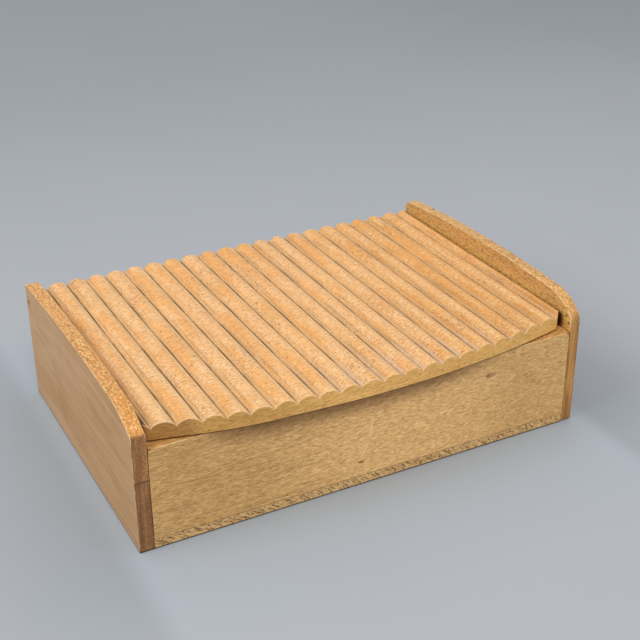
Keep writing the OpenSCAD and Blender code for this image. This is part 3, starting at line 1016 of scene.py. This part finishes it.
LEFT_LOWER_BEECH = beech("left_lower_beech", GRAIN_ALONG_Y, (45.0, 11.0, -20.0), LEFT_LOWER_TONES,
                         [GLUE_MARK], end_detail, cover=0.35, seam=0.9, seam_cover=0.8, **CHEEK_FIGURE)
RIGHT_BEECH = beech("right_beech", GRAIN_ALONG_Y, (-65.0, 51.0, 70.0), RIGHT_TONES, RIGHT_MARKS,
                    cheek_detail(TO_LEFT, (0.98, 0.95, 0.98)), cover=0.4, wear=0.5, **RIGHT_FIGURE)
DIVIDER_BEECH = beech("divider_beech", GRAIN_ALONG_Y, (-5.0, 7.0, 120.0), DIVIDER_TONES)

BASE_TONES = wood_tones(
    pale=(0.86, 0.57, 0.27), deep=(0.76, 0.47, 0.2),
    end_pale=(0.8, 0.485, 0.195), end_deep=(0.7, 0.4, 0.145),
    dark=(0.36, 0.18, 0.07), worn=(0.93, 0.66, 0.38))
BASE_BEECH = beech("sawn_base_beech", GRAIN_ALONG_Y, (25.0, -71.0, 7.0), BASE_TONES, detail=torn_detail,
                   rough=0.62, seam=0.92, seam_cover=0.9, end_fibre=0.1, **{"Fleck Depth": 0.25})


def nail_finish():
    """Dark nail steel with rusty spots."""
    material, bench = new_material("dark_nail_steel")
    place = position_in_mm(bench)
    rust = use_group(bench, BLOTCHES, {"Vector": place, "Size": 0.9, "Cover": 0.55})["Mask"]
    colour = bench.mix(rust, tone(0.035, 0.03, 0.028), tone(0.06, 0.03, 0.015))
    bench.surface({"Base Color": colour, "Metallic": 0.6 - 0.5 * rust, "Roughness": 0.4 + 0.35 * rust})
    return material


NAIL_STEEL = nail_finish()


# Pieces of the case

def mount(piece, body, node):
    """Shades a finished piece and puts it in a node's place on a body."""
    flat_shading(piece)
    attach(piece, body)
    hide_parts(node)


TONGUE_T = 2.0
TONGUE_SHOULDER = 4.0
GLUE_GAP = 0.1


def tongue_bar(low, high, gap):
    """The bar along a panel that its two tongues, or with a gap the grooves for them, are the ends of."""
    middle = (low[1] + high[1]) / 2
    return block((low[0] - gap, middle - TONGUE_T / 2 - gap, low[2] - gap),
                 (high[0] + gap, middle + TONGUE_T / 2 + gap, high[2] - TONGUE_SHOULDER + gap))


def groove_bars():
    """The bars that cut the grooves for both panels into a cheek."""
    return [tongue_bar(front_low, front_high, GLUE_GAP), tongue_bar(back_low, back_high, GLUE_GAP)]


BORE_REACH = 90.0
HINGE_BORE = spindle(0, hinge, [(-BORE_REACH, PIN_R + PIN_SEAT), (BORE_REACH, PIN_R + PIN_SEAT)])
nails_low, nails_high = node_box("base_nails")


def nail_holes(y):
    """Stepped holes for one row of base nails."""
    head = NAIL_HEAD_R + NAIL_ROOM
    shank = NAIL_SHANK_R + NAIL_ROOM
    shoulder = nails_low[2] + HEAD_HOLE_DEPTH
    profile = [(-1.0, head), (shoulder, head), (shoulder, shank), (nails_high[2] + 0.2, shank)]
    places = np.linspace(nails_low[0] + NAIL_HEAD_R, nails_high[0] - NAIL_HEAD_R, NAILS_IN_ROW)
    return [spindle(2, (x, y, 0.0), profile) for x in places]


FRONT_NAILS_Y = nails_low[1] + NAIL_HEAD_R
BACK_NAILS_Y = nails_high[1] - NAIL_HEAD_R


def rim(outline, limit, base, swing, seed, extra):
    """Arris radius along an outline: an uneven base size and extra wear, up to a limit."""
    wave = soft_noise(np.column_stack([np.full(len(outline), seed), outline]), 9.0, seed)
    return np.minimum(base + swing * wave + extra, limit)


# How close to a joint, or to an end of the case, a point counts as being there
NEAR_JOINT = 0.2
NEAR_END = 0.5


def panel_seam(outline):
    """-1 along the front and back ends of a cheek's inner rim, where panels meet it, and 1 elsewhere."""
    at_end = (outline[:, 0] < CASE_FRONT + NEAR_END) | (outline[:, 0] > CASE_BACK - NEAR_END)
    return np.where(at_end & (outline[:, 1] < PANEL_TOP), -1.0, 1.0)


def top_wear(outline, end_y, reach, size):
    """How much more the arris of a cheek's top is worn near a place along it."""
    on_top = outline[:, 1] > CHEEK_FRONT_Z - 2
    return size * np.exp(-((outline[:, 0] - end_y) / reach) ** 2) * on_top


GLUE_SHOW = 0.35
GLUE_ARRIS = 0.12
GLUE_RIM = 0.15


def make_left_upper():
    outline, limit = cheek_outline(
        left_upper_high[2], LEFT_CROWN_SETBACK, LEFT_BACK_Z, LEFT_NOSE_R, GLUE_Z, LEFT_EASES)
    at_glue = outline[:, 1] < GLUE_Z + GLUE_RIM
    nose_wear = top_wear(outline, CASE_FRONT, 7.0, 0.3)
    outer = np.where(at_glue, GLUE_ARRIS, rim(outline, limit, 0.24, 0.08, 1.0, nose_wear))
    inner = np.where(at_glue, GLUE_ARRIS, rim(outline, limit, 0.2, 0.06, 2.0, nose_wear))
    points, faces, wear = arched_board(
        outline, outer, inner, left_upper_low[0], left_upper_high[0], panel_seam(outline))
    show = np.where(np.abs(points[:, 1]) > CASE_BACK - NEAR_END, 1.0, GLUE_SHOW)
    wear = np.where(points[:, 2] < GLUE_Z + NEAR_JOINT, -np.abs(wear) * show, wear)
    piece = new_piece("left_cheek_upper_board", points, faces, LEFT_UPPER_BEECH, wear=wear)
    carve(piece, groove_bars() + [HINGE_BORE])
    mount(piece, "case", "left_cheek_upper")


def make_left_lower():
    def arris(place):
        base = 0.26 + 0.1 * soft_noise(place, 8.0, 3.0)
        return np.where(place[:, 2] > GLUE_Z - NEAR_END, GLUE_ARRIS, base)

    points, faces, wear, place = sawn_board(left_lower_low, left_lower_high, arris, PLAIN_SPACING)
    inside = place[:, 0] > left_lower_high[0] - NEAR_END
    at_end = np.abs(place[:, 1]) > CASE_BACK - NEAR_END
    at_glue = place[:, 2] > GLUE_Z - NEAR_JOINT
    wear = np.where(at_glue, -wear * np.where(at_end, 1.0, GLUE_SHOW), wear)
    # The foot on the table gets a dark seam of painted contact shadow and grime, and the inner ends at the
    # panels a dark joint.
    contact_shade_and_joint_grime = (place[:, 2] < NEAR_JOINT) | (inside & at_end & (wear > 0))
    wear = np.where(contact_shade_and_joint_grime, -np.minimum(2 * np.abs(wear), 1), wear)
    piece = new_piece("left_cheek_lower_board", points, faces, LEFT_LOWER_BEECH, wear=wear)
    carve(piece, groove_bars())
    mount(piece, "case", "left_cheek_lower")


def make_right_cheek():
    outline, limit = cheek_outline(
        right_high[2], RIGHT_CROWN_SETBACK, RIGHT_BACK_Z, RIGHT_NOSE_R, right_low[2], RIGHT_EASES)
    end_wear = top_wear(outline, CASE_FRONT, 7.0, 0.3) + top_wear(outline, CASE_BACK, 5.0, 0.45)
    ding = top_wear(outline, RIGHT_DING_Y, 1.3, 0.7)
    outer = rim(outline, limit, 0.28, 0.1, 4.0, end_wear + ding)
    inner = rim(outline, limit, 0.24, 0.08, 5.0, end_wear)
    points, faces, wear = arched_board(
        outline, outer, inner, right_high[0], right_low[0], panel_seam(outline))
    piece = new_piece("right_cheek_board", points, faces, RIGHT_BEECH, wear=wear)
    carve(piece, groove_bars() + [HINGE_BORE])
    mount(piece, "case", "right_cheek")


def panel_arris(top, face, seed):
    """Arris radius of a panel: its outer top edge is the most worn, more so towards the corners."""
    def arris(place):
        base = 0.16 + 0.05 * soft_noise(place, 9.0, seed)
        on_top = place[:, 2] > top - 1.0
        outside = np.abs(place[:, 1] - face) < 1.0
        corner = np.exp(-((INNER - np.abs(place[:, 0])) / 6.0) ** 2)
        return base + np.where(on_top & outside, 0.15 + 0.3 * corner, 0.0)
    return arris


def make_panels():
    gap = GLUE_GAP
    for node, low, high, face, nails_y, finish, seed in (
            ("front_panel", front_low, front_high, CASE_FRONT, FRONT_NAILS_Y, FRONT_BEECH, 6.0),
            ("back_panel", back_low, back_high, CASE_BACK, BACK_NAILS_Y, BACK_BEECH, 7.0)):
        arris = panel_arris(high[2], face, seed)
        points, faces, wear, place = sawn_board(
            (-INNER, low[1], low[2]), (INNER, high[1], high[2]), arris, PLAIN_SPACING)
        at_joint = (np.abs(place[:, 0]) > INNER - NEAR_JOINT) | (place[:, 2] < low[2] + NEAR_JOINT)
        wear = np.where(at_joint, -wear, wear)
        piece = new_piece(node + "_board", points, faces, finish, wear=wear)
        carve(piece, [tongue_bar(low, high, 0.0)], "UNION")
        divider_groove = block((divider_low[0] - gap, divider_low[1] - gap, low[2] - 1), divider_high + gap)
        carve(piece, nail_holes(nails_y) + [divider_groove])
        mount(piece, "case", node)


TEAR_STEP = 1.3
TEAR_DEPTH = 0.2
TEAR_ROWS = (1.2, 2.1, 3.0)


def torn_fibres(place, face_y, seed):
    """How deep the saw tore each point of one sawn edge: slanted dashes in rows."""
    chance = np.random.default_rng(seed)
    on_edge = np.abs(place[:, 1] - face_y) < 0.01
    x, z = place[on_edge, 0], place[on_edge, 2]
    tear = np.zeros(len(x))
    for row_z in TEAR_ROWS:
        for middle in np.arange(base_low[0] + 1.0, base_high[0], TEAR_STEP):
            jitter_x, jitter_z, longer, slope, strength = chance.random(5)
            left = np.clip((20 - middle) / 80, 0, 1)
            half_length = 0.4 + (0.5 + 0.9 * left) * longer
            half_width = 0.13 + 0.07 * jitter_z
            lean = math.radians(-18 - 22 * slope - 14 * (1 - left))
            away_x = x - middle - 1.6 * (jitter_x - 0.5)
            away_z = z - row_z - 1.0 * (jitter_z - 0.5)
            run = away_x * math.cos(lean) + away_z * math.sin(lean)
            off = away_z * math.cos(lean) - away_x * math.sin(lean)
            spread = np.sqrt((run / half_length) ** 2 + (off / half_width) ** 2)
            share = np.clip((1.5 - spread) / 0.8, 0, 1) * np.clip(1.8 * strength - 0.1, 0, 1)
            tear = np.maximum(tear, share)
    whole = np.zeros(len(place))
    whole[on_edge] = tear
    return whole


def make_base():
    def arris(place):
        return np.where(place[:, 2] < 1.0, 0.3, 0.2) + 0.06 * soft_noise(place, 5.0, 8.0)

    points, faces, wear, place = sawn_board(base_low, base_high, arris, (0.25, 3.0, 0.3))
    front_tear = torn_fibres(place, base_low[1], 21)
    back_tear = torn_fibres(place, base_high[1], 22)
    points[:, 1] += TEAR_DEPTH * (front_tear - back_tear)
    # Every arris of the base is a dark seam; along the foot it is darker, as painted contact shadow and
    # grime.
    wear = np.where(place[:, 2] < base_low[2] + NEAR_JOINT, -np.minimum(2.5 * wear, 1), -0.6 * wear)
    piece = new_piece("base_board_sawn", points, faces, BASE_BEECH, wear=wear, torn=front_tear + back_tear)
    carve(piece, nail_holes(FRONT_NAILS_Y) + nail_holes(BACK_NAILS_Y))
    mount(piece, "case", "base_board")


def make_divider():
    def arris(place):
        return 0.4 + 0.12 * soft_noise(place, 8.0, 9.0)

    points, faces, wear, _ = sawn_board(divider_low, divider_high, arris, (2.0, 2.5, 2.0))
    piece = new_piece("deck_divider_board", points, faces, DIVIDER_BEECH, wear=wear)
    mount(piece, "case", "deck_divider")


make_left_upper()
make_left_lower()
make_right_cheek()
make_panels()
make_base()
make_divider()


# The reeded lid

COLUMNS_PER_REED = 14
CROWDING = 0.8
ROW_CROWDING = 0.97
LID_ROWS = 64
EDGE_LEVELS = 3


def crowded(share):
    """Share of a reed's width at a share of its columns, which crowd towards the valleys."""
    return share - CROWDING * math.sin(math.tau * share) / math.tau


def lid_skin(bench, given):
    """A closed block on a grid of columns and rows, with a step in height for each level of its edge."""
    grid = bench.place("GeometryNodeMeshGrid", {
        "Size X": given["Columns"] - 1.0, "Size Y": given["Rows"] - 1.0,
        "Vertices X": given["Columns"], "Vertices Y": given["Rows"]})
    mesh, top = grid.outputs["Mesh"], True
    for _ in range(EDGE_LEVELS):
        raised = bench.place("GeometryNodeExtrudeMesh", {
            "Mesh": mesh, "Selection": top, "Offset": UP, "Offset Scale": 1.0, "Individual": False})
        mesh, top = raised.outputs["Mesh"], raised.outputs["Top"]
    under = bench.place("GeometryNodeFlipFaces", {"Mesh": grid.outputs["Mesh"]})
    joined = bench.place("GeometryNodeJoinGeometry")
    bench.join(mesh, joined.inputs[0])
    bench.join(under.outputs["Mesh"], joined.inputs[0])
    closed = bench.place("GeometryNodeMergeByDistance", {"Geometry": joined.outputs[0], "Distance": 0.01})
    return closed.outputs["Geometry"]


def crowd(share, amount):
    """A share in a node tree, crowded by some amount towards 0 and 1."""
    return share - (share * math.tau).calc("SINE") * (amount / math.tau)


def rounding(distance, size):
    """How far an arris of some radius falls away at a distance from its edge."""
    short = (size - distance).calc("MAXIMUM", 0.0)
    return size - (size.squared() - short.squared()).root()


def rough_noise(bench, x, y, seed):
    """Noise from 0 to 1 over a plane, of which each seed gives another."""
    made = bench.place("ShaderNodeTexNoise", {
        "Vector": bench.combine(x, y, 0.0), "W": seed, "Scale": 1.0, "Detail": 2.0}, noise_dimensions="4D")
    return bench.term(made.outputs[0])


def store(bench, shape, label, value):
    """A shape whose points carry an amount."""
    return bench.place("GeometryNodeStoreNamedAttribute", {
        "Geometry": shape, "Name": label, "Value": value}, data_type="FLOAT", domain="POINT").outputs[0]


def reeded_lid_tree():
    """A bowed board whose top follows the reeds, on a grid of columns across and rows along the reeds."""
    tree, bench, given, out = new_tree(
        "reeded_lid", "GeometryNodeTree",
        [("Finish", "finish", None), ("Columns", "count", 10), ("First Column", "count", 0),
         ("Rows", "count", 10),
         ("Left End", "value", 0.0), ("Right End", "value", 0.0), ("Back Edge", "value", 0.0),
         ("Front Middle", "value", 0.0), ("Bow Radius", "value", 1.0),
         ("Left Corner", "value", 0.0), ("Right Corner", "value", 0.0),
         ("Bulge", "value", 0.0), ("Bulge Place", "value", 0.0), ("Bulge Reach", "value", 1.0),
         ("Underside", "value", 0.0), ("Board Thickness", "value", 0.0), ("Reed Height", "value", 0.0),
         ("Reed Pitch", "value", 1.0), ("Reed Offset", "value", 0.0), ("Valley Width", "value", 0.0),
         ("Valley Depth", "value", 0.0), ("Arris", "value", 0.0), ("Lower Arris", "value", 0.0),
         ("Edge Step", "value", 0.0), ("Edge Reach", "value", 1.0), ("Heel Y", "value", 0.0),
         ("Heel Z", "value", 0.0), ("Heel Radius", "value", 0.0), ("Unevenness", "value", 0.0),
         ("Seed", "value", 1.0)],
        [("Lid", "shape")])
    spot = bench.split(bench.place("GeometryNodeInputPosition").outputs[0])
    column = (spot[0] + (given["Columns"] - 1.0) / 2.0).calc("ROUND") + given["First Column"]
    row = (spot[1] + (given["Rows"] - 1.0) / 2.0).calc("ROUND")
    level = spot[2].calc("ROUND")
    upper = bench.ease(level, 1.0, 2.0)
    on_underside = bench.ease(level, 1.0, 0.0)
    on_reeds = bench.ease(level, EDGE_LEVELS - 1.0, float(EDGE_LEVELS))
    count = column / float(COLUMNS_PER_REED)
    reed = count.calc("FLOOR")
    share = crowd(count - reed, CROWDING)
    pitch = given["Reed Pitch"]
    offset = given["Reed Offset"]
    x = (reed + share) * pitch - offset
    x = x.calc("MAXIMUM", given["Left End"]).calc("MINIMUM", given["Right End"])
    from_crown = x + offset - (reed + 0.5) * pitch
    x = x + wander(bench, x / MM) * MM
    half = pitch / 2.0
    rise = given["Reed Height"]
    radius = (half.squared() + rise.squared()) / (rise * 2.0)
    bulge = (radius.squared() - from_crown.squared()).root() - radius + rise
    left_end = x - given["Left End"]
    right_end = given["Right End"] - x
    bow = given["Bow Radius"]
    front = given["Front Middle"] + bow - (bow.squared() - x.squared()).root()
    front = front + (given["Left Corner"] - left_end).calc("MAXIMUM", 0.0)
    front = front + (given["Right Corner"] - right_end).calc("MAXIMUM", 0.0)
    from_bulge = (x - given["Bulge Place"]).calc("ABSOLUTE") / given["Bulge Reach"]
    front = front - given["Bulge"] * bench.ease(from_bulge, 1.0, 0.0)
    step = crowd(row / (given["Rows"] - 1.0), ROW_CROWDING)
    y = front + (given["Back Edge"] - front) * step

    ripple = rough_noise(bench, x * 260.0, y * 45.0, given["Seed"]) - 0.5
    chew = rough_noise(bench, x * 700.0, y * 30.0, given["Seed"] + 4.0)
    arris = given["Arris"] * (0.5 + chew)
    notch = (1.0 - (half - from_crown.calc("ABSOLUTE")) / given["Valley Width"]).calc("MAXIMUM", 0.0)
    notch = notch.squared() * given["Valley Depth"] * (chew * 2.0)
    back_drop = rounding(given["Back Edge"] - y, given["Arris"] * 0.6)
    drop = rounding(y - front, arris).calc("MAXIMUM", back_drop)
    drop = drop.calc("MAXIMUM", rounding(left_end.calc("MINIMUM", right_end), given["Arris"] * 1.2))
    top = given["Underside"] + given["Board Thickness"] + bulge + ripple * given["Unevenness"]
    top = top - notch - drop
    behind = (y - given["Heel Y"]).calc("MAXIMUM", 0.0)
    heel = given["Heel Z"] - (given["Heel Radius"].squared() - behind.squared()).root()
    lift = rounding(y - front, given["Lower Arris"])
    bottom = given["Underside"].calc("MAXIMUM", heel) + lift
    low_z = bottom + (1.0 - on_underside) * given["Edge Step"]
    high_z = top - (1.0 - on_reeds) * given["Edge Step"]
    z = low_z + (high_z - low_z) * upper
    worn = on_reeds * bench.ease((y - front) / given["Arris"], 1.9, 0.8)
    # The lower front arris gets negative wear, which the finish shows as a dark seam: painted shade and
    # grime along the lid's lower edge.
    worn = worn - on_underside * bench.ease(lift / given["Lower Arris"], 0.02, 0.3)
    rubbed = store(bench, lid_skin(bench, given), "wear", worn)
    edged = store(bench, rubbed, "edge", bench.ease((y - front) / given["Edge Reach"], 1.0, 0.1))
    shaped = bench.place("GeometryNodeSetPosition", {
        "Geometry": edged, "Position": bench.combine(x, y, z)})
    smooth = bench.place("GeometryNodeSetShadeSmooth", {0: shaped.outputs[0]})
    whole = bench.place("GeometryNodeRealizeInstances", {0: smooth.outputs[0]})
    dressed = bench.place("GeometryNodeSetMaterial", {
        "Geometry": whole.outputs[0], "Material": given["Finish"]})
    bench.join(dressed.outputs[0], out.inputs["Lid"])
    return tree


def run_tree(name, tree, values):
    """A plain mesh object made by a geometry tree from its named values."""
    piece = add_object(name, bpy.data.meshes.new(name))
    step = piece.modifiers.new("shape", "NODES")
    step.node_group = tree
    for item in tree.interface.items_tree:
        if item.in_out == "INPUT" and item.name in values:
            step[item.identifier] = values[item.name]
    settle(piece)
    return piece


def columns_past(end, way):
    """How many columns lie between the middle and an end of the lid, to the left or the right of it."""
    for count in itertools.count():
        turns = count / COLUMNS_PER_REED * way
        whole = math.floor(turns)
        place = REED_PITCH * (whole + crowded(turns - whole)) - REED_OFFSET
        if place * way >= end * way:
            return count


def make_lid():
    before = columns_past(lid_low[0], -1)
    after = columns_past(lid_high[0], 1)
    sizes = {
        "Left End": lid_low[0], "Right End": lid_high[0],
        "Back Edge": lid_high[1], "Front Middle": lid_low[1],
        "Bow Radius": arc_radius(INNER, CASE_FRONT - lid_low[1] + LID_END_SETBACK),
        "Left Corner": LID_CORNER_LEFT, "Right Corner": LID_CORNER_RIGHT,
        "Bulge": 0.95, "Bulge Place": -47.0, "Bulge Reach": 25.0,
        "Underside": lid_low[2], "Board Thickness": BOARD_T, "Reed Height": REED_H,
        "Reed Pitch": REED_PITCH, "Reed Offset": REED_OFFSET, "Valley Width": 0.5, "Valley Depth": 0.12,
        "Arris": 0.28, "Lower Arris": 0.25, "Edge Step": 0.16, "Edge Reach": 4.5,
        "Heel Y": hinge[1], "Heel Z": hinge[2], "Heel Radius": lid_high[1] - hinge[1],
        "Unevenness": 0.18}
    values = {name: float(size) * MM for name, size in sizes.items()}
    values.update({"Finish": LID_BEECH, "Columns": before + after + 1, "First Column": -before,
                   "Rows": LID_ROWS, "Seed": 3.0})
    piece = run_tree("reeded_lid_board", reeded_lid_tree(), values)
    sink = PIN_BITE + PIN_SINK
    bore = PIN_R + PIN_PLAY
    carve(piece, [spindle(0, hinge, [(lid_low[0] - 2, bore), (lid_low[0] + sink, bore)]),
                  spindle(0, hinge, [(lid_high[0] - sink, bore), (lid_high[0] + 2, bore)])])
    mount(piece, "lid", "lid")


make_lid()


# Nails

def turned(name, profile, sides):
    """A closed round piece of nail steel along Z from a profile of radius and height."""
    points, rings = [], []
    for radius, height in profile:
        around = sides if radius else 1
        rings.append([len(points) + i for i in range(around)])
        for i in range(around):
            turn = math.tau * i / sides
            points.append((radius * math.cos(turn), radius * math.sin(turn), height))
    faces = []
    for first, second in zip(rings, rings[1:]):
        for i in range(sides):
            j = (i + 1) % sides
            corners = [first[i % len(first)], first[j % len(first)]]
            corners += [second[j % len(second)], second[i % len(second)]]
            faces.append(tuple(dict.fromkeys(corners)))
    return new_piece(name, points, faces, NAIL_STEEL)


def make_hinge_nails():
    low, high = node_box("left_hinge_nail")
    length = high[0] - low[0]
    profile = [(0, 0.04), (0.42, 0.02), (0.7, 0.1), (PIN_R, 0.26),
               (PIN_R, length - 1.9), (0.42, length - 0.7), (0, length)]
    left_outer = low[0]
    right_outer = node_box("right_hinge_nail")[1][0]
    for name, node, outer, turn in (("left_hinge_pin", "left_hinge_nail", left_outer, 90),
                                    ("right_hinge_pin", "right_hinge_nail", right_outer, -90)):
        piece = turned(name, profile, 24)
        place = Matrix.Translation(Vector((outer, hinge[1], hinge[2])) * MM)
        piece.data.transform(place @ Matrix.Rotation(math.radians(turn), 4, "Y"))
        mount(piece, "case", node)


# The furthest that a base nail is turned about its own axis, in radians
NAIL_TWIST = 3.1


def nail_rows_tree():
    """Nails on a grid of places, each turned differently."""
    tree, bench, given, out = new_tree(
        "base_nail_rows", "GeometryNodeTree",
        [("Nail", "piece", None), ("Finish", "finish", None), ("Row Length", "value", 0.1),
         ("Row Distance", "value", 0.1), ("Nails in Row", "count", 4), ("Seed", "count", 5)],
        [("Nails", "shape")])
    places = bench.place("GeometryNodeMeshGrid", {
        "Size X": given["Row Length"], "Size Y": given["Row Distance"],
        "Vertices X": given["Nails in Row"], "Vertices Y": 2})
    pattern = bench.place("GeometryNodeObjectInfo", {"Object": given["Nail"]})
    turn = bench.place("FunctionNodeRandomValue", {
        0: (0.0, 0.0, -NAIL_TWIST), 1: (0.0, 0.0, NAIL_TWIST), "Seed": given["Seed"]},
        data_type="FLOAT_VECTOR")
    nails = bench.place("GeometryNodeInstanceOnPoints", {
        "Points": places.outputs["Mesh"], "Instance": pattern.outputs["Geometry"],
        "Rotation": turn.outputs[0]})
    whole = bench.place("GeometryNodeRealizeInstances", {0: nails.outputs[0]})
    dressed = bench.place("GeometryNodeSetMaterial", {
        "Geometry": whole.outputs[0], "Material": given["Finish"]})
    bench.join(dressed.outputs[0], out.inputs["Nails"])
    return tree


def make_base_nails():
    head, shank = NAIL_HEAD_R, NAIL_SHANK_R
    bottom, top = nails_low[2], nails_high[2]
    profile = [(0, bottom + 0.06), (0.8, bottom), (1.12, bottom + 0.06), (head, bottom + 0.2),
               (head, bottom + 0.48), (1.1, bottom + 0.6), (0.62, bottom + 0.62), (shank, bottom + 0.8),
               (shank, top - 1.8), (0.3, top - 0.7), (0, top)]
    nail = turned("base_nail", profile, 20)
    apart = (nails_high - nails_low - 2 * head) * MM
    values = {"Nail": nail, "Finish": NAIL_STEEL, "Row Length": float(apart[0]),
              "Row Distance": float(apart[1]), "Nails in Row": NAILS_IN_ROW, "Seed": 5}
    piece = run_tree("base_nail_rows", nail_rows_tree(), values)
    bpy.data.objects.remove(nail)
    mount(piece, "case", "base_nails")


make_hinge_nails()
make_base_nails()


# Floor, light and camera

FLOOR_HALF = 4.0
FLOOR_CELLS = 24
PAPER_GLOSS = 0.3


def floor_finish():
    """Soft grey paper, with painted shade: a little darker at the back and to the right, and a painted
    shadow next to the box.
    """
    material, bench = new_material("grey_sweep")
    where = bench.place("ShaderNodeTexCoord").outputs["Object"]
    cloud = bench.cloud(where, (6.0, 6.0, 6.0), 3.0)
    colour = bench.mix(bench.ease(cloud, 0.3, 0.7), tone(0.439, 0.458, 0.491), tone(0.449, 0.468, 0.502))
    side, back, _ = bench.split(where)
    # Painted shade: the paper is darkened towards the back and to the right, where the light falls off.
    colour = bench.tint(bench.ease(back, 0.05, 0.5), colour, (0.82, 0.825, 0.835))
    colour = bench.tint(bench.ease(side, 0.2, 0.55), colour, (0.9, 0.9, 0.91))
    # Painted shadow: near the box the paper gets a cooler tint, and beside its sides a darker one.
    beside = (side.calc("ABSOLUTE") - cad_high[0]).calc("MAXIMUM", 0.0)
    before = (back.calc("ABSOLUTE") - cad_high[1]).calc("MAXIMUM", 0.0)
    apart = (beside.squared() + before.squared()).root()
    colour = bench.tint(bench.ease(apart, 0.07, 0.0), colour, (0.93, 1.0, 1.04))
    aside = bench.ease(beside, 0.0, 0.01) * bench.ease(apart, 0.09, 0.005)
    colour = bench.tint(aside, colour, (0.84, 0.82, 0.81))
    bench.surface({"Base Color": colour, "Roughness": 0.7, "Specular IOR Level": PAPER_GLOSS})
    return material


def make_floor():
    shell = bmesh.new()
    bmesh.ops.create_grid(shell, x_segments=FLOOR_CELLS, y_segments=FLOOR_CELLS, size=FLOOR_HALF)
    mesh = bpy.data.meshes.new("studio_floor")
    shell.to_mesh(mesh)
    shell.free()
    mesh.materials.append(floor_finish())
    add_object("studio_floor", mesh)


SKY_COLOUR = (0.95, 0.98, 1.0, 1.0)
SKY_STRENGTH = 0.66
LAMP_COLOUR = (1.0, 0.985, 0.96)
LAMP_AIM = Vector((0.0, 0.0, 0.02))
# Place in metres, width in metres and power in watts of each softbox
SOFTBOXES = {"overhead_softbox": ((0.0, -0.15, 1.0), 0.6, 0.8),
             "left_softbox": ((-0.8, 0.0, 0.85), 0.6, 3.2),
             "front_softbox": ((-0.25, -0.75, 0.95), 0.5, 3.6)}


def make_light():
    world = bpy.data.worlds.new("studio")
    world.use_nodes = True
    back = world.node_tree.nodes["Background"]
    back.inputs["Color"].default_value = SKY_COLOUR
    back.inputs["Strength"].default_value = SKY_STRENGTH
    bpy.context.scene.world = world
    for name, (place, width, watts) in SOFTBOXES.items():
        lamp = bpy.data.lights.new(name, "AREA")
        lamp.shape = "SQUARE"
        lamp.size = width
        lamp.energy = watts
        lamp.color = LAMP_COLOUR
        box = add_object(name, lamp)
        box.location = place
        box.rotation_euler = (LAMP_AIM - Vector(place)).to_track_quat("-Z", "Y").to_euler()


CAMERA_PLACE = (-0.16705, -0.33700, 0.22982)
CAMERA_AZIMUTH = math.radians(-27.529)
CAMERA_ELEVATION = math.radians(27.471)
CAMERA_ROLL = math.radians(-0.359)
LENS_MM = 68.309
SENSOR_MM = 36.0


def make_camera():
    level = math.cos(CAMERA_ELEVATION)
    back = Vector((math.sin(CAMERA_AZIMUTH) * level, -math.cos(CAMERA_AZIMUTH) * level,
                   math.sin(CAMERA_ELEVATION)))
    right = Vector(UP).cross(back).normalized()
    up = back.cross(right)
    across = right * math.cos(CAMERA_ROLL) + up * math.sin(CAMERA_ROLL)
    upright = up * math.cos(CAMERA_ROLL) - right * math.sin(CAMERA_ROLL)
    lens = bpy.data.cameras.new("photo_view")
    lens.lens = LENS_MM
    lens.sensor_width = SENSOR_MM
    lens.clip_start = 0.01
    camera = add_object("photo_view", lens)
    axes = Matrix((across, upright, back)).transposed().to_4x4()
    camera.matrix_world = Matrix.Translation(CAMERA_PLACE) @ axes
    bpy.context.scene.camera = camera


make_floor()
make_light()
make_camera()
bpy.context.scene.view_settings.view_transform = "Standard"
